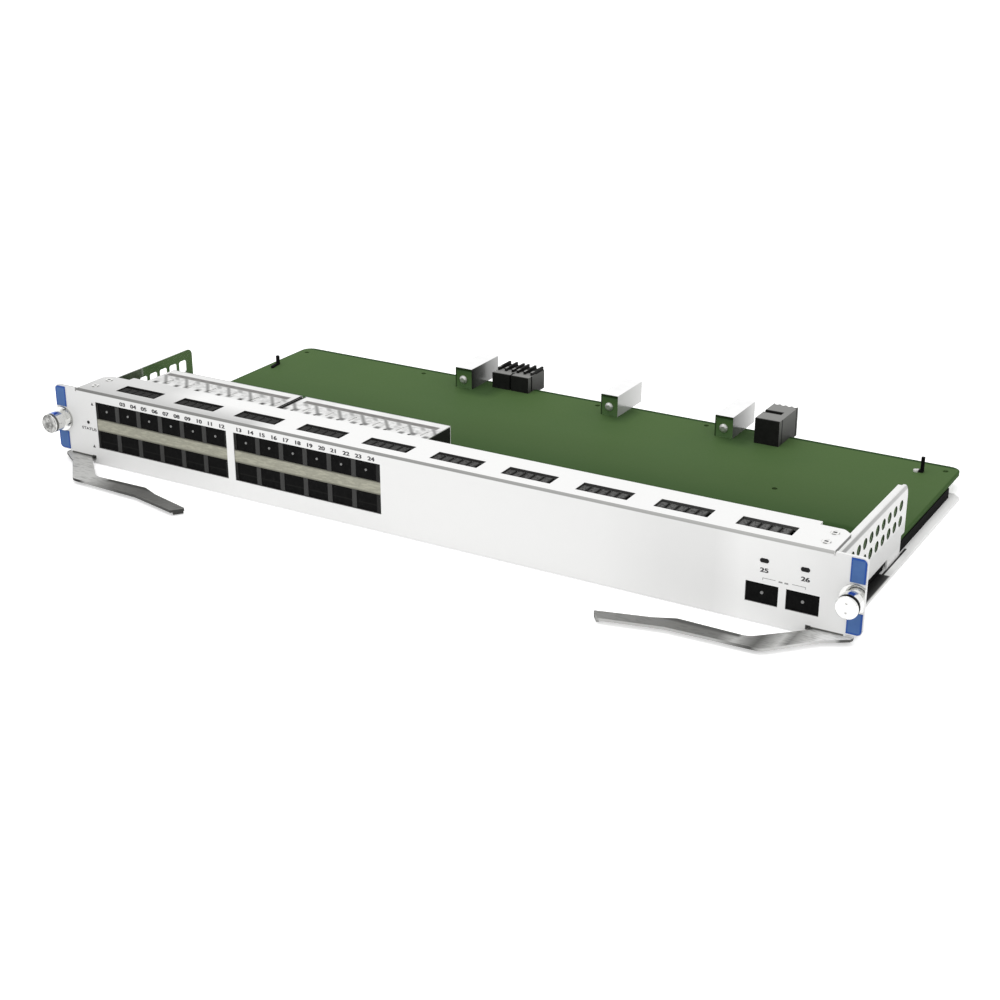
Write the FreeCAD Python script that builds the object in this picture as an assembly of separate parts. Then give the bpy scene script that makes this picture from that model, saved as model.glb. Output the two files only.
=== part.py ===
import FreeCAD, Part
import math
import os

# Switch line card: bent face plate, ported board on a tray, side walls, two ejector levers.
# Millimetres, +Z up. x = 0 is the middle of the face plate, y = 0 its front face with the
# card running back along +y, z = 0 the underside of the tray.

V = FreeCAD.Vector
GAP = 0.3            # between bodies that move past each other
FIT = 0.1            # between still parts that fit into each other

# face plate
SHEET = 1.5
PLATE_H = 40.0
EAR_HALF = 220.95
EAR_W = 7.15         # ear past the white face
EAR_Z = 4.5
EAR_ROUND = 2.4
BEND_R = 1.2
RELIEF_R = 0.9
NOTCH_Z = 3.4        # cut-out at the foot of each end, where a lever comes through
NOTCH_END_R = 1.4
FACE_HALF = EAR_HALF - EAR_W
FLANGE_HALF = FACE_HALF - 7.5
NOTCH_X = FLANGE_HALF - 8.0

# top flange of the same sheet
FLANGE_Y = 27.7
STEP_X = FLANGE_HALF - 15.1
STEP_Y = FLANGE_Y - 3.5
STEP_END_X = FLANGE_HALF - 3.9
STEP_SIDE_Y = FLANGE_Y - 7.1
SLOT_N = 10
SLOT_W = 25.5
SLOT_Y0 = 7.0
SLOT_Y1 = 16.3
SLOT_PITCH = 2 * (FLANGE_HALF - 33.8) / (SLOT_N - 1)
FLANGE_SCREW_X = FLANGE_HALF - 6.3
FLANGE_SCREW_Y = (8.0, 18.5)
FLANGE_SCREW_R = 1.2

# board, tray and what is between them
TRAY_T = 1.2
BOARD_Z0 = 6.4
BOARD_Z1 = 8.4
BOARD_HALF = FLANGE_HALF - 1.7
BOARD_Y0 = 2.0
BOARD_Y1 = 199.3
BOARD_ROUND = 6.0
BOARD_HOLES = ((5.6 - BOARD_HALF, BOARD_Y1 - 8.8), (-115.0, BOARD_Y1 - 7.5), (0.0, BOARD_Y1 - 6.8),
               (66.0, BOARD_Y1 - 6.3), (132.0, BOARD_Y1 - 72.9), (BOARD_HALF - 6.4, BOARD_Y1 - 7.8))
BOARD_HOLE_R = 1.5
TRAY_Y1 = BOARD_Y1 - 17.3
TRAY_CUT = 4.0
POST_R = 3.2
POST_X = (-150.0, -50.0, 50.0, 150.0)
POST_Y = (12.0, 90.0, TRAY_Y1 - 14.0)

# ports
PORT_PITCH = 14.25
PORT_N = 6
PORT_FIRST = (27.25 - FACE_HALF, 117.6 - FACE_HALF)
WIN_PAST = ((7.05, 7.2), (7.4, 8.35))        # window past the first and last port of a group
CAGE_PAST = ((7.35, 8.3), (8.8, 8.85))
WIN_Z0 = BOARD_Z1 + 0.7
WIN_Z1 = PLATE_H - 5.5
LOWER_Z = (BOARD_Z1 + 0.8, BOARD_Z1 + 10.2)
UPPER_Z = (PLATE_H - 14.6, PLATE_H - 5.6)
BAND_Z = (LOWER_Z[1] + 0.2, UPPER_Z[0] - 0.2)
RIB_W = 2.6
CAGE_Z1 = PLATE_H - 5.8
CAGE_Y1 = 62.5
CAGE_T = 0.5
VENT_DOT_Y = CAGE_Y1 - 20.7
VENT_DOT_DX = -2.5
VENT_DX = 3.8
VENT_Y = (CAGE_Y1 - 19.5, CAGE_Y1 - 12.9)
UP_X = (FACE_HALF - 37.7, FACE_HALF - 19.5)
UP_HALF = 7.39
UP_Z = (BOARD_Z1 + 0.86, LOWER_Z[1])
UP_CAGE_HALF = 7.9
UP_CAGE_Z1 = UP_Z[1] + 0.8
UP_CAGE_Y1 = FLANGE_Y + 1.0
PLUG_Y = 0.6         # front of the port plugs
PLUG_LEN = 19.0
PLUG_HALF = 5.6

# lights
LED_X = (FACE_HALF - 37.2, FACE_HALF - 19.1)
LED_Z = UP_Z[1] + 10.7
LED_HALF = 1.0
LED_R = 0.95
STATUS_X = 14.2 - FACE_HALF
STATUS_Z = 22.4
STATUS_R = 0.85

# side walls
WALL_T = 0.8
WALL_X = FLANGE_HALF - 0.3 - WALL_T
SEAT_T = 1.2         # front flange of a wall, behind the ear
WALL_Z0 = BOARD_Z0 - 0.1
WALL_Z1 = PLATE_H - 3.0
WALL_Y1 = 100.0
WALL_ROUND = 8.0
WALL_JOG = (WALL_Y1 - 4.7, BOARD_Z1 + 2.6)
WALL_FOOT_Y = WALL_Y1 - 23.0
LEFT_WALL_Y1 = WALL_Y1 - 8.6
LIP_W = 1.8
TAB_Y = (2.0, FLANGE_Y - 6.2)
HOLE_R = 2.6
HOLE_N = 9
HOLE_ROWS = ((25.5, WALL_Z1 - 9.6), (26.0, WALL_Z1 - 17.5))      # first y and z of each row
HOLE_PITCH = (WALL_Y1 - 34.4) / (HOLE_N - 1)
WINDOW_W = 5.8
WINDOW_Z = (WALL_Z1 - 12.2, WALL_Z1 - 5.2)
WINDOW_N = 8
WINDOW_Y = LEFT_WALL_Y1 - 8.4
WINDOW_PITCH = (WINDOW_Y - 26.0) / (WINDOW_N - 1)
RAIL_X = (BOARD_HALF - 4.2, BOARD_HALF + 0.6)
RAIL_Y = (WALL_Y1 - 3.0, TRAY_Y1 - 7.0)
FRONT_RAIL_Y = (20.0, WALL_FOOT_Y - 1.0)

# captive screws
SCREW_X = EAR_HALF - 4.15
SCREW_Z = 21.7
SHAFT_R = 1.75
SHAFT_FIT = 0.05
SHAFT_Y1 = 9.5
KNOB_R = 5.15
KNOB_Y0 = -11.2
KNOB_Y1 = -4.4
KNOB_GROOVE = (KNOB_Y0 + 0.8, KNOB_Y0 + 2.0)
KNOB_BORE_R = KNOB_R - 0.8
KNOB_FLOOR_Y = KNOB_Y0 + 1.3
COLLAR_R = 6.5
COLLAR_Y = -1.3
NECK_R = 4.0
NECK_Y = -5.2
RING_R = 3.2
RING_T = 0.8
RING_CLEAR = RING_R + 0.5
RING_Y = SHEET + 0.35
GROOVE_R = 1.35
SPRING_R = 3.0
SPRING_WIRE = 0.28
SPRING_TURNS = 3
SPRING_STEPS = 10    # straight stretches in a turn

# ejector levers
LEVER_Z = (1.5, 3.0)
PIVOT_X = FLANGE_HALF + 0.7
PIVOT_Y = 8.0
BOSS_R = 6.5
PIN_R = 2.5
PIN_FIT = 0.05
PIN_HEAD_R = 4.3
PIN_HEAD_T = 1.1
TRAY_HALF = PIVOT_X + 3.0

# rear parts
GUIDE_X = ((-86.0, -75.3), (7.9, 18.2), (76.0, 86.3))
GUIDE_Y = (BOARD_Y1 - 18.5, BOARD_Y1 + 11.7)
GUIDE_Z1 = BOARD_Z1 + 11.9
GUIDE_BORE_R = 2.3
GUIDE_BORE_L = 16.0
GUIDE_SCREW_R = 2.4
GUIDE_SCREW_Z = BOARD_Z1 + 5.2
TWIN_X = (GUIDE_X[0][1] + 8.1, GUIDE_X[0][1] + 31.7)
TWIN_Y = (BOARD_Y1 - 8.8, BOARD_Y1 + 10.3)
TWIN_Z = (BOARD_Z1 + 9.0, BOARD_Z1 + 10.8)
TALL_X = (GUIDE_X[2][1] + 12.0, GUIDE_X[2][1] + 25.7)
TALL_Y = (BOARD_Y1 - 18.0, BOARD_Y1 + 8.7)
TALL_Z1 = BOARD_Z1 + 13.9

SIDES = 12           # flats of a small hole or head that repeats
TURNED = 24          # flats of a turned piece that shows
EDGE = 1.0


def box(x0, x1, y0, y1, z0, z1):
    return Part.makeBox(x1 - x0, y1 - y0, z1 - z0, V(x0, y0, z0))


def rod_y(x, y0, y1, z, r):
    return Part.makeCylinder(r, y1 - y0, V(x, y0, z), V(0, 1, 0))


def rod_z(x, y, z0, z1, r):
    return Part.makeCylinder(r, z1 - z0, V(x, y, z0), V(0, 0, 1))


def around(a, b, r, sides=SIDES):
    """Corners of a regular outline about (a, b)."""
    turns = [2 * math.pi * (k + 0.5) / sides for k in range(sides)]
    return [(a + r * math.cos(t), b + r * math.sin(t)) for t in turns]


def barrel(x, z, y0, y1, r0, r1, sides=TURNED):
    """Turned stretch along y, with narrow flats in place of a full round."""
    rings = []
    for y, r in ((y0, r0), (y1, r1)):
        corners = [V(a, y, b) for a, b in around(x, z, r, sides)]
        rings.append(Part.makePolygon(corners + corners[:1]))
    return Part.makeLoft(rings, True, True)


def outside(r, sides):
    """Corner radius of a regular outline that just goes round a circle."""
    return r / math.cos(math.pi / sides)


def fuse(shapes):
    whole = shapes[0]
    if len(shapes) > 1:
        whole = whole.fuse(shapes[1:])
    return whole.removeSplitter()


def cut(shape, tools):
    return shape.cut(Part.makeCompound(tools))


def flip(shape):
    """The same shape on the other side of x = 0."""
    return shape.mirror(V(0, 0, 0), V(1, 0, 0))


def corner(before, point, after, radius):
    """Start, middle and end of the arc that rounds one corner."""
    if radius == 0:
        return point, None, point
    u = (before - point).normalize()
    w = (after - point).normalize()
    half = u.getAngle(w) / 2
    reach = radius / math.tan(half)
    centre = point + (u + w).normalize() * (radius / math.sin(half))
    middle = centre + (point - centre).normalize() * radius
    return point + u * reach, middle, point + w * reach


def plate(points, low, high, along="z"):
    """Flat part with rounded corners; each point is (a, b) or (a, b, radius)."""
    at = []
    for point in points:
        a, b = point[0], point[1]
        if along == "z":
            at.append(V(a, b, low))
        elif along == "y":
            at.append(V(a, low, b))
        else:
            at.append(V(low, a, b))
    bends = []
    for i, point in enumerate(points):
        radius = point[2] if len(point) > 2 else 0
        bends.append(corner(at[i - 1], at[i], at[(i + 1) % len(at)], radius))
    edges = []
    for i, (start, middle, end) in enumerate(bends):
        if middle is not None:
            edges.append(Part.Arc(start, middle, end).toShape())
        following = bends[(i + 1) % len(bends)][0]
        if (following - end).Length > 1e-6:
            edges.append(Part.makeLine(end, following))
    step = {"x": V(high - low, 0, 0), "y": V(0, high - low, 0), "z": V(0, 0, high - low)}[along]
    return Part.Face(Part.Wire(edges)).extrude(step)


def save(name, shape):
    shape.exportStep("parts/" + name + ".step")
    print(name, len(shape.Solids), shape.isValid(), round(shape.Volume, 1))


def ports():
    """Centre x of every column of ports, one list for each group."""
    return [[first + PORT_PITCH * k for k in range(PORT_N)] for first in PORT_FIRST]


def slots():
    return [SLOT_PITCH * (k - (SLOT_N - 1) / 2) for k in range(SLOT_N)]


def span(group, past):
    """Both ends in x of what goes round one group of ports."""
    centres = ports()[group]
    return centres[0] - past[group][0], centres[-1] + past[group][1]


def oval(x, y0, y1, grow):
    r = LED_R + grow
    half = LED_HALF + r
    nick = 0.6 * r
    corners = [(-half, nick - r), (nick - half, -r), (half - nick, -r), (half, nick - r),
               (half, r - nick), (half - nick, r), (nick - half, r), (-half, r - nick)]
    return plate([(x + a, LED_Z + b) for a, b in corners], y0, y1, "y")


def face_plate():
    low = PLATE_H - SHEET
    bent = plate([(0, 0), (0, PLATE_H, BEND_R), (FLANGE_Y, PLATE_H), (FLANGE_Y, low),
                  (SHEET, low), (SHEET, 0)], -FLANGE_HALF, FLANGE_HALF, "x")
    shapes = [bent]
    for side in (-1, 1):
        shapes.append(plate([(side * (FLANGE_HALF - EDGE), 0), (side * EAR_HALF, 0),
                             (side * EAR_HALF, PLATE_H, EAR_ROUND),
                             (side * (FLANGE_HALF + 0.8), PLATE_H),
                             (side * (FLANGE_HALF + 0.8), PLATE_H - 2 * RELIEF_R),
                             (side * (FLANGE_HALF - EDGE), PLATE_H - 2 * RELIEF_R)],
                            0, SHEET, "y"))
    whole = fuse(shapes)
    tools = []
    for side in (-1, 1):
        reach = EAR_HALF + EDGE
        outer = sorted((side * NOTCH_X, side * reach))
        tools.append(box(outer[0], outer[1], -EDGE, SHEET + EDGE, -EDGE, NOTCH_Z))
        tools.append(plate(around(side * NOTCH_X, NOTCH_Z - NOTCH_END_R, NOTCH_END_R), -EDGE,
                           SHEET + EDGE, "y"))
        foot = [(side * FACE_HALF, -EDGE), (side * reach, -EDGE), (side * reach, EAR_Z + EAR_ROUND),
                (side * EAR_HALF, EAR_Z + EAR_ROUND)]
        foot += [(side * (EAR_HALF - 0.7), EAR_Z + 0.7), (side * (EAR_HALF - EAR_ROUND), EAR_Z),
                 (side * FACE_HALF, EAR_Z)]
        tools.append(plate(foot, -EDGE, SHEET + EDGE, "y"))
        tools.append(plate([(side * STEP_X, STEP_Y), (side * STEP_END_X, STEP_Y, 3.0),
                            (side * FLANGE_HALF, STEP_SIDE_Y, 0),
                            (side * (FLANGE_HALF + EDGE), STEP_SIDE_Y),
                            (side * (FLANGE_HALF + EDGE), FLANGE_Y + EDGE),
                            (side * STEP_X, FLANGE_Y + EDGE)], low - EDGE, PLATE_H + EDGE))
        hole = outside(SHAFT_R + SHAFT_FIT, TURNED)
        tools.append(barrel(side * SCREW_X, SCREW_Z, -EDGE, SHEET + EDGE, hole, hole))
        for y in FLANGE_SCREW_Y:
            tools.append(plate(around(side * FLANGE_SCREW_X, y, FLANGE_SCREW_R + SHAFT_FIT),
                               low - EDGE, PLATE_H + EDGE))
    for group in range(len(PORT_FIRST)):
        x0, x1 = span(group, WIN_PAST)
        tools.append(box(x0, x1, -EDGE, SHEET + EDGE, WIN_Z0, WIN_Z1))
    for x in UP_X:
        tools.append(box(x - UP_HALF, x + UP_HALF, -EDGE, SHEET + EDGE, UP_Z[0], UP_Z[1]))
    for x in LED_X:
        tools.append(oval(x, -EDGE, SHEET + EDGE, SHAFT_FIT))
    tools.append(plate(around(STATUS_X, STATUS_Z, STATUS_R + SHAFT_FIT), -EDGE, SHEET + EDGE, "y"))
    for x in slots():
        tools.append(box(x - SLOT_W / 2, x + SLOT_W / 2, SLOT_Y0, SLOT_Y1, low - EDGE, PLATE_H + EDGE))
    return cut(whole, tools)


def finger_strip(x):
    """Contact spring under one slot: a rail with arched fingers that end free."""
    top = PLATE_H - SHEET
    low = top - 0.3
    crown = PLATE_H - 0.5
    rail = SLOT_Y0 - 0.6
    profile = [(SLOT_Y0 - 2.0, low), (SLOT_Y0 - 2.0, top), (SLOT_Y0 + FIT, top), (SLOT_Y0 + 2.0, crown),
               (SLOT_Y1 - 2.0, crown), (SLOT_Y1 - FIT, low), ((SLOT_Y0 + SLOT_Y1) / 2, crown - 0.4),
               (rail, low)]
    start = x - SLOT_W / 2 + 0.3
    strip = plate(profile, start, start + 4 * 4.75 + 4.2, "x")
    gaps = [box(start + 4.75 * k - 0.55, start + 4.75 * k, rail + 0.1, SLOT_Y1 + EDGE, low - EDGE,
                PLATE_H + EDGE) for k in range(1, 5)]
    return cut(strip, gaps)


def cage(group):
    """Pressed cage of one port group with its ribs showing in the window."""
    x0, x1 = span(group, CAGE_PAST)
    w0, w1 = span(group, WIN_PAST)
    z0 = BOARD_Z1
    shell = box(x0, x1, SHEET, CAGE_Y1, z0, CAGE_Z1)
    hollow = box(x0 + CAGE_T, x1 - CAGE_T, SHEET - EDGE, CAGE_Y1 - CAGE_T, z0 + CAGE_T,
                 CAGE_Z1 - CAGE_T)
    shapes = [shell.cut(hollow)]
    inner = (x0 + CAGE_T / 2, x1 - CAGE_T / 2)
    for z in (LOWER_Z[1], UPPER_Z[0] - CAGE_T):
        shapes.append(box(inner[0], inner[1], SHEET, CAGE_Y1 - CAGE_T / 2, z, z + CAGE_T))
    centres = ports()[group]
    for k in range(PORT_N + 1):
        x = centres[0] + PORT_PITCH * (k - 0.5)
        if 0 < k < PORT_N:
            shapes.append(box(x - CAGE_T / 2, x + CAGE_T / 2, SHEET, CAGE_Y1 - CAGE_T / 2,
                              z0 + CAGE_T / 2, CAGE_Z1 - CAGE_T / 2))
        left = max(x - RIB_W / 2, w0 + FIT)
        right = min(x + RIB_W / 2, w1 - FIT)
        for low, high in ((LOWER_Z[0], BAND_Z[0] - FIT), (BAND_Z[1] + FIT, CAGE_Z1 - FIT)):
            shapes.append(box(left, right, 0.35, SHEET + 1.0, low, high))
    whole = fuse(shapes)
    tools = []
    for x in centres:
        tools.append(plate(around(x + VENT_DOT_DX, VENT_DOT_Y, 1.0, 8), CAGE_Z1 - EDGE,
                           CAGE_Z1 + EDGE))
        drop = [(-0.6, 0), (0.6, 0), (1.1, 0.9), (0.5, VENT_Y[1] - VENT_Y[0]),
                (-0.5, VENT_Y[1] - VENT_Y[0]), (-1.1, 0.9)]
        tools.append(plate([(x + VENT_DX + a, VENT_Y[0] + b) for a, b in drop], CAGE_Z1 - EDGE,
                           CAGE_Z1 + EDGE))
    return cut(whole, tools)


def band(group):
    """Woven contact strip between the two rows of ports."""
    w0, w1 = span(group, WIN_PAST)
    return box(w0 + FIT, w1 - FIT, 0.3, SHEET - 0.05, BAND_Z[0], BAND_Z[1])


def port_plug(x, row):
    """Filler plug of one port; an upper one has a taller lip at the mouth."""
    z0, z1 = LOWER_Z if row == "lower" else UPPER_Z
    if row == "lower":
        return box(x - PLUG_HALF, x + PLUG_HALF, PLUG_Y, PLUG_LEN, z0 + 0.05, z1 - 0.1)
    body = box(x - PLUG_HALF, x + PLUG_HALF, PLUG_Y, PLUG_LEN, z0 + 0.05, CAGE_Z1 - CAGE_T - 0.1)
    front = box(x - PLUG_HALF, x + PLUG_HALF, PLUG_Y, SHEET - 0.05, z0 + 0.05, z1 - 0.05)
    return fuse([body, front])


def plug_row(row):
    return Part.makeCompound([port_plug(x, row) for group in ports() for x in group])


def connector_bank(group):
    """Board connectors at the closed end of one cage."""
    y0, y1 = CAGE_Y1 - 16.5, CAGE_Y1 - 0.9
    blocks = []
    for x in ports()[group]:
        left, right = x - PLUG_HALF, x + PLUG_HALF
        blocks.append(box(left, right, y0, y1, BOARD_Z1 + CAGE_T + 0.05, LOWER_Z[1] - 0.8))
        blocks.append(box(left, right, y0, y1, UPPER_Z[0] + 0.05, CAGE_Z1 - 0.8))
    return Part.makeCompound(blocks)


def uplink_cages():
    shapes = []
    for x in UP_X:
        shell = box(x - UP_CAGE_HALF, x + UP_CAGE_HALF, SHEET, UP_CAGE_Y1, BOARD_Z1, UP_CAGE_Z1)
        hollow = box(x - UP_CAGE_HALF + CAGE_T, x + UP_CAGE_HALF - CAGE_T, SHEET - EDGE,
                     UP_CAGE_Y1 - CAGE_T, BOARD_Z1 + CAGE_T, UP_CAGE_Z1 - CAGE_T)
        shapes.append(shell.cut(hollow))
    return Part.makeCompound(shapes)


def uplink_plugs():
    plugs = []
    for x in UP_X:
        body = box(x - 6.9, x + 6.9, PLUG_Y, PLUG_LEN, BOARD_Z1 + CAGE_T + 0.4, UP_Z[1] - 0.1)
        lip = box(x - UP_HALF + FIT, x + UP_HALF - FIT, PLUG_Y, SHEET - 0.05, UP_Z[0] + 0.04,
                  UP_Z[1] - 0.05)
        foot = box(x - 5.0, x + 5.0, SHEET + 1, PLUG_LEN, BOARD_Z1 + CAGE_T + 0.05, UP_Z[0] + EDGE)
        plugs.append(fuse([body, lip, foot]))
    return Part.makeCompound(plugs)


def uplink_connectors():
    blocks = []
    for x in UP_X:
        blocks.append(box(x - 6.4, x + 6.4, PLUG_LEN + 0.5, UP_CAGE_Y1 - 0.8,
                          BOARD_Z1 + CAGE_T + 0.05, UP_Z[1] - 1.0))
    return Part.makeCompound(blocks)


def light_lenses():
    return Part.makeCompound([oval(x, -0.2, SHEET + 1.5, 0) for x in LED_X])


def status_lens():
    return plate(around(STATUS_X, STATUS_Z, STATUS_R), -0.2, SHEET + 1.5, "y")


def tray():
    h, cutoff = TRAY_HALF, TRAY_CUT
    shape = plate([(-h, SHEET), (h, SHEET), (h, TRAY_Y1 - cutoff), (h - cutoff, TRAY_Y1),
                   (cutoff - h, TRAY_Y1), (-h, TRAY_Y1 - cutoff)], 0, TRAY_T)
    hole = outside(PIN_R + 0.02, TURNED)
    tools = [plate(around(side * PIVOT_X, PIVOT_Y, hole, TURNED), -EDGE, TRAY_T + EDGE)
             for side in (-1, 1)]
    return cut(shape, tools)


def board():
    h, r = BOARD_HALF, BOARD_ROUND
    shape = plate([(-h, BOARD_Y0), (h, BOARD_Y0), (h, BOARD_Y1, r), (-h, BOARD_Y1, r)],
                  BOARD_Z0, BOARD_Z1)
    tools = [plate(around(x, y, BOARD_HOLE_R, 10), BOARD_Z0 - EDGE, BOARD_Z1 + EDGE)
             for x, y in BOARD_HOLES]
    return cut(shape, tools)


def board_rail():
    """Long rail under the board's side, and a narrower one inside the wall."""
    return Part.makeCompound([box(RAIL_X[0], RAIL_X[1], RAIL_Y[0], RAIL_Y[1], TRAY_T, BOARD_Z0),
                              box(RAIL_X[0], BOARD_HALF, FRONT_RAIL_Y[0], FRONT_RAIL_Y[1], TRAY_T,
                                  BOARD_Z0)])


def standoffs():
    """Hexagonal posts between the tray and the board."""
    posts = [plate(around(x, y, POST_R, 6), TRAY_T, BOARD_Z0) for x in POST_X for y in POST_Y]
    return Part.makeCompound(posts)


def side_wall(left):
    """One side wall with the tab under the flange and the seat behind the ear.

    The seat is what meets the chassis rail. It is notched round the retaining ring.
    """
    back = LEFT_WALL_Y1 if left else WALL_Y1
    outline = [(SHEET, WALL_Z1), (SHEET, WALL_Z0), (WALL_FOOT_Y, WALL_Z0), (WALL_FOOT_Y, TRAY_T)]
    if left:
        outline += [(back - 2.0, TRAY_T), (back, WALL_Z0)]
    else:
        outline += [(WALL_JOG[0], TRAY_T), (WALL_JOG[0], WALL_JOG[1]), (back, WALL_JOG[1])]
    round_top = 3.5 if left else WALL_ROUND
    outline.append((back, WALL_Z1, round_top))
    wall = plate(outline, WALL_X, WALL_X + WALL_T, "x")
    tab = box(STEP_X + 0.4, WALL_X + WALL_T, TAB_Y[0], TAB_Y[1], WALL_Z1, PLATE_H - SHEET)
    reach = EAR_HALF - 0.9
    low, high = SCREW_Z - RING_CLEAR, SCREW_Z + RING_CLEAR
    seat = [(WALL_X, WALL_Z0 + 1.7), (reach, WALL_Z0 + 1.7), (reach, low),
            (SCREW_X - 1.5, low), (SCREW_X - RING_CLEAR, low + 2.1), (SCREW_X - RING_CLEAR, high - 2.1),
            (SCREW_X - 1.5, high), (reach, high), (reach, WALL_Z1 - 3.0), (WALL_X, WALL_Z1 - 3.0)]
    front = plate(seat, SHEET, SHEET + SEAT_T, "y")
    foot = box(WALL_X - 6.0, WALL_X + WALL_T, WALL_FOOT_Y, back - 5.0, TRAY_T, TRAY_T + 1.2)
    shapes = [wall, tab, front, foot]
    if not left:
        shapes.append(box(WALL_X - LIP_W, WALL_X + WALL_T, SHEET, back - WALL_ROUND, WALL_Z1 - WALL_T,
                          WALL_Z1))
    tools = [plate(around(FLANGE_SCREW_X, y, FLANGE_SCREW_R + SHAFT_FIT), WALL_Z1 - EDGE, PLATE_H)
             for y in FLANGE_SCREW_Y]
    if left:
        for k in range(WINDOW_N):
            a, b = WINDOW_Y - WINDOW_PITCH * k - WINDOW_W / 2, WINDOW_Y - WINDOW_PITCH * k + WINDOW_W / 2
            c, d = WINDOW_Z
            nick = 0.8
            tools.append(plate([(a, c + nick), (a + nick, c), (b - nick, c), (b, c + nick),
                                (b, d - nick), (b - nick, d), (a + nick, d), (a, d - nick)],
                               WALL_X - EDGE, WALL_X + WALL_T + EDGE, "x"))
    else:
        for first, z in HOLE_ROWS:
            for k in range(HOLE_N):
                tools.append(plate(around(first + HOLE_PITCH * k, z, outside(HOLE_R, 10), 10),
                                   WALL_X - EDGE, WALL_X + WALL_T + EDGE, "x"))
    return cut(fuse(shapes), tools)


def flange_screws():
    screws = []
    for side in (-1, 1):
        for y in FLANGE_SCREW_Y:
            x = side * FLANGE_SCREW_X
            head = plate(around(x, y, FLANGE_SCREW_R + 0.8), PLATE_H, PLATE_H + 0.4)
            shank = plate(around(x, y, FLANGE_SCREW_R), WALL_Z1 + 0.1, PLATE_H)
            screws.append(fuse([head, shank]))
    return Part.makeCompound(screws)


def ear_pads():
    """Coloured grip pads above and below one captive screw."""
    x0, x1 = FACE_HALF + 0.15, EAR_HALF - 0.35
    low, high = SCREW_Z - COLLAR_R - GAP, SCREW_Z + COLLAR_R + GAP
    top, foot = PLATE_H - 0.6, EAR_Z + 0.6
    upper = plate([(x0, high), (x1, high), (x1, top, 2.0), (x0, top)], -0.35, 0, "y")
    lower = plate([(x0, foot), (x1, foot, 2.0), (x1, low), (x0, low)], -0.35, 0, "y")
    return Part.makeCompound([upper, lower])


def screw_ferrule():
    """Collar and neck pressed into the ear, round the captive screw."""
    collar = barrel(SCREW_X, SCREW_Z, COLLAR_Y, 0, COLLAR_R, COLLAR_R)
    collar = collar.common(box(0, EAR_HALF, COLLAR_Y - EDGE, EDGE, 0, PLATE_H))
    neck = barrel(SCREW_X, SCREW_Z, NECK_Y, COLLAR_Y, NECK_R, NECK_R)
    bore = rod_y(SCREW_X, NECK_Y - EDGE, EDGE, SCREW_Z, SHAFT_R + SHAFT_FIT)
    return fuse([collar, neck]).cut(bore)


def screw_knob():
    """Knob, shaft and free threaded end, turned from one bar."""
    edge = 0.5
    groove = KNOB_R - 0.5
    hold = GROOVE_R
    tip = SHAFT_Y1 - 0.6
    shapes = [barrel(SCREW_X, SCREW_Z, KNOB_Y0, KNOB_Y0 + edge, KNOB_R - edge, KNOB_R),
              barrel(SCREW_X, SCREW_Z, KNOB_Y0 + edge, KNOB_GROOVE[0], KNOB_R, KNOB_R),
              barrel(SCREW_X, SCREW_Z, KNOB_GROOVE[0], KNOB_GROOVE[1], groove, groove),
              barrel(SCREW_X, SCREW_Z, KNOB_GROOVE[1], KNOB_Y1, KNOB_R, KNOB_R)]
    inner = barrel(SCREW_X, SCREW_Z, KNOB_FLOOR_Y, KNOB_Y1 + EDGE, KNOB_BORE_R, KNOB_BORE_R)
    sockets = [barrel(SCREW_X, SCREW_Z + side * 2.1, KNOB_Y0 - EDGE, KNOB_Y0 + 0.4, 0.6, 0.6, 8)
               for side in (-1, 1)]
    knob = cut(fuse(shapes), [inner] + sockets)
    shaft = [rod_y(SCREW_X, KNOB_FLOOR_Y - 0.1, RING_Y - 0.1, SCREW_Z, SHAFT_R),
             barrel(SCREW_X, SCREW_Z, RING_Y - 0.1, RING_Y + RING_T + 0.1, hold, hold, SIDES),
             rod_y(SCREW_X, RING_Y + RING_T + 0.1, tip, SCREW_Z, SHAFT_R),
             barrel(SCREW_X, SCREW_Z, tip, SHAFT_Y1, SHAFT_R - 0.05, SHAFT_R - 0.6, SIDES)]
    return fuse([knob] + shaft)


def retaining_ring():
    """Clip in the shaft's groove, behind the ear."""
    hole = outside(GROOVE_R + SHAFT_FIT, SIDES)
    ring = barrel(SCREW_X, SCREW_Z, RING_Y, RING_Y + RING_T, RING_R, RING_R, SIDES)
    return ring.cut(barrel(SCREW_X, SCREW_Z, RING_Y - EDGE, RING_Y + 2 * EDGE, hole, hole, SIDES))


def screw_spring():
    """Open coil of square wire between the neck and the knob's floor."""
    low = NECK_Y - SPRING_WIRE
    high = KNOB_FLOOR_Y + SPRING_WIRE
    count = SPRING_TURNS * SPRING_STEPS
    squares = []
    for k in range(count + 1):
        turn = 2 * math.pi * k / SPRING_STEPS
        out = V(math.cos(turn), 0, math.sin(turn))
        middle = V(SCREW_X, high + (low - high) * k / count, SCREW_Z) + out * SPRING_R
        side, up = out * SPRING_WIRE, V(0, SPRING_WIRE, 0)
        corners = [middle - side - up, middle + side - up, middle + side + up, middle - side + up]
        squares.append(Part.makePolygon(corners + corners[:1]))
    return Part.makeLoft(squares, True, True)


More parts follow.
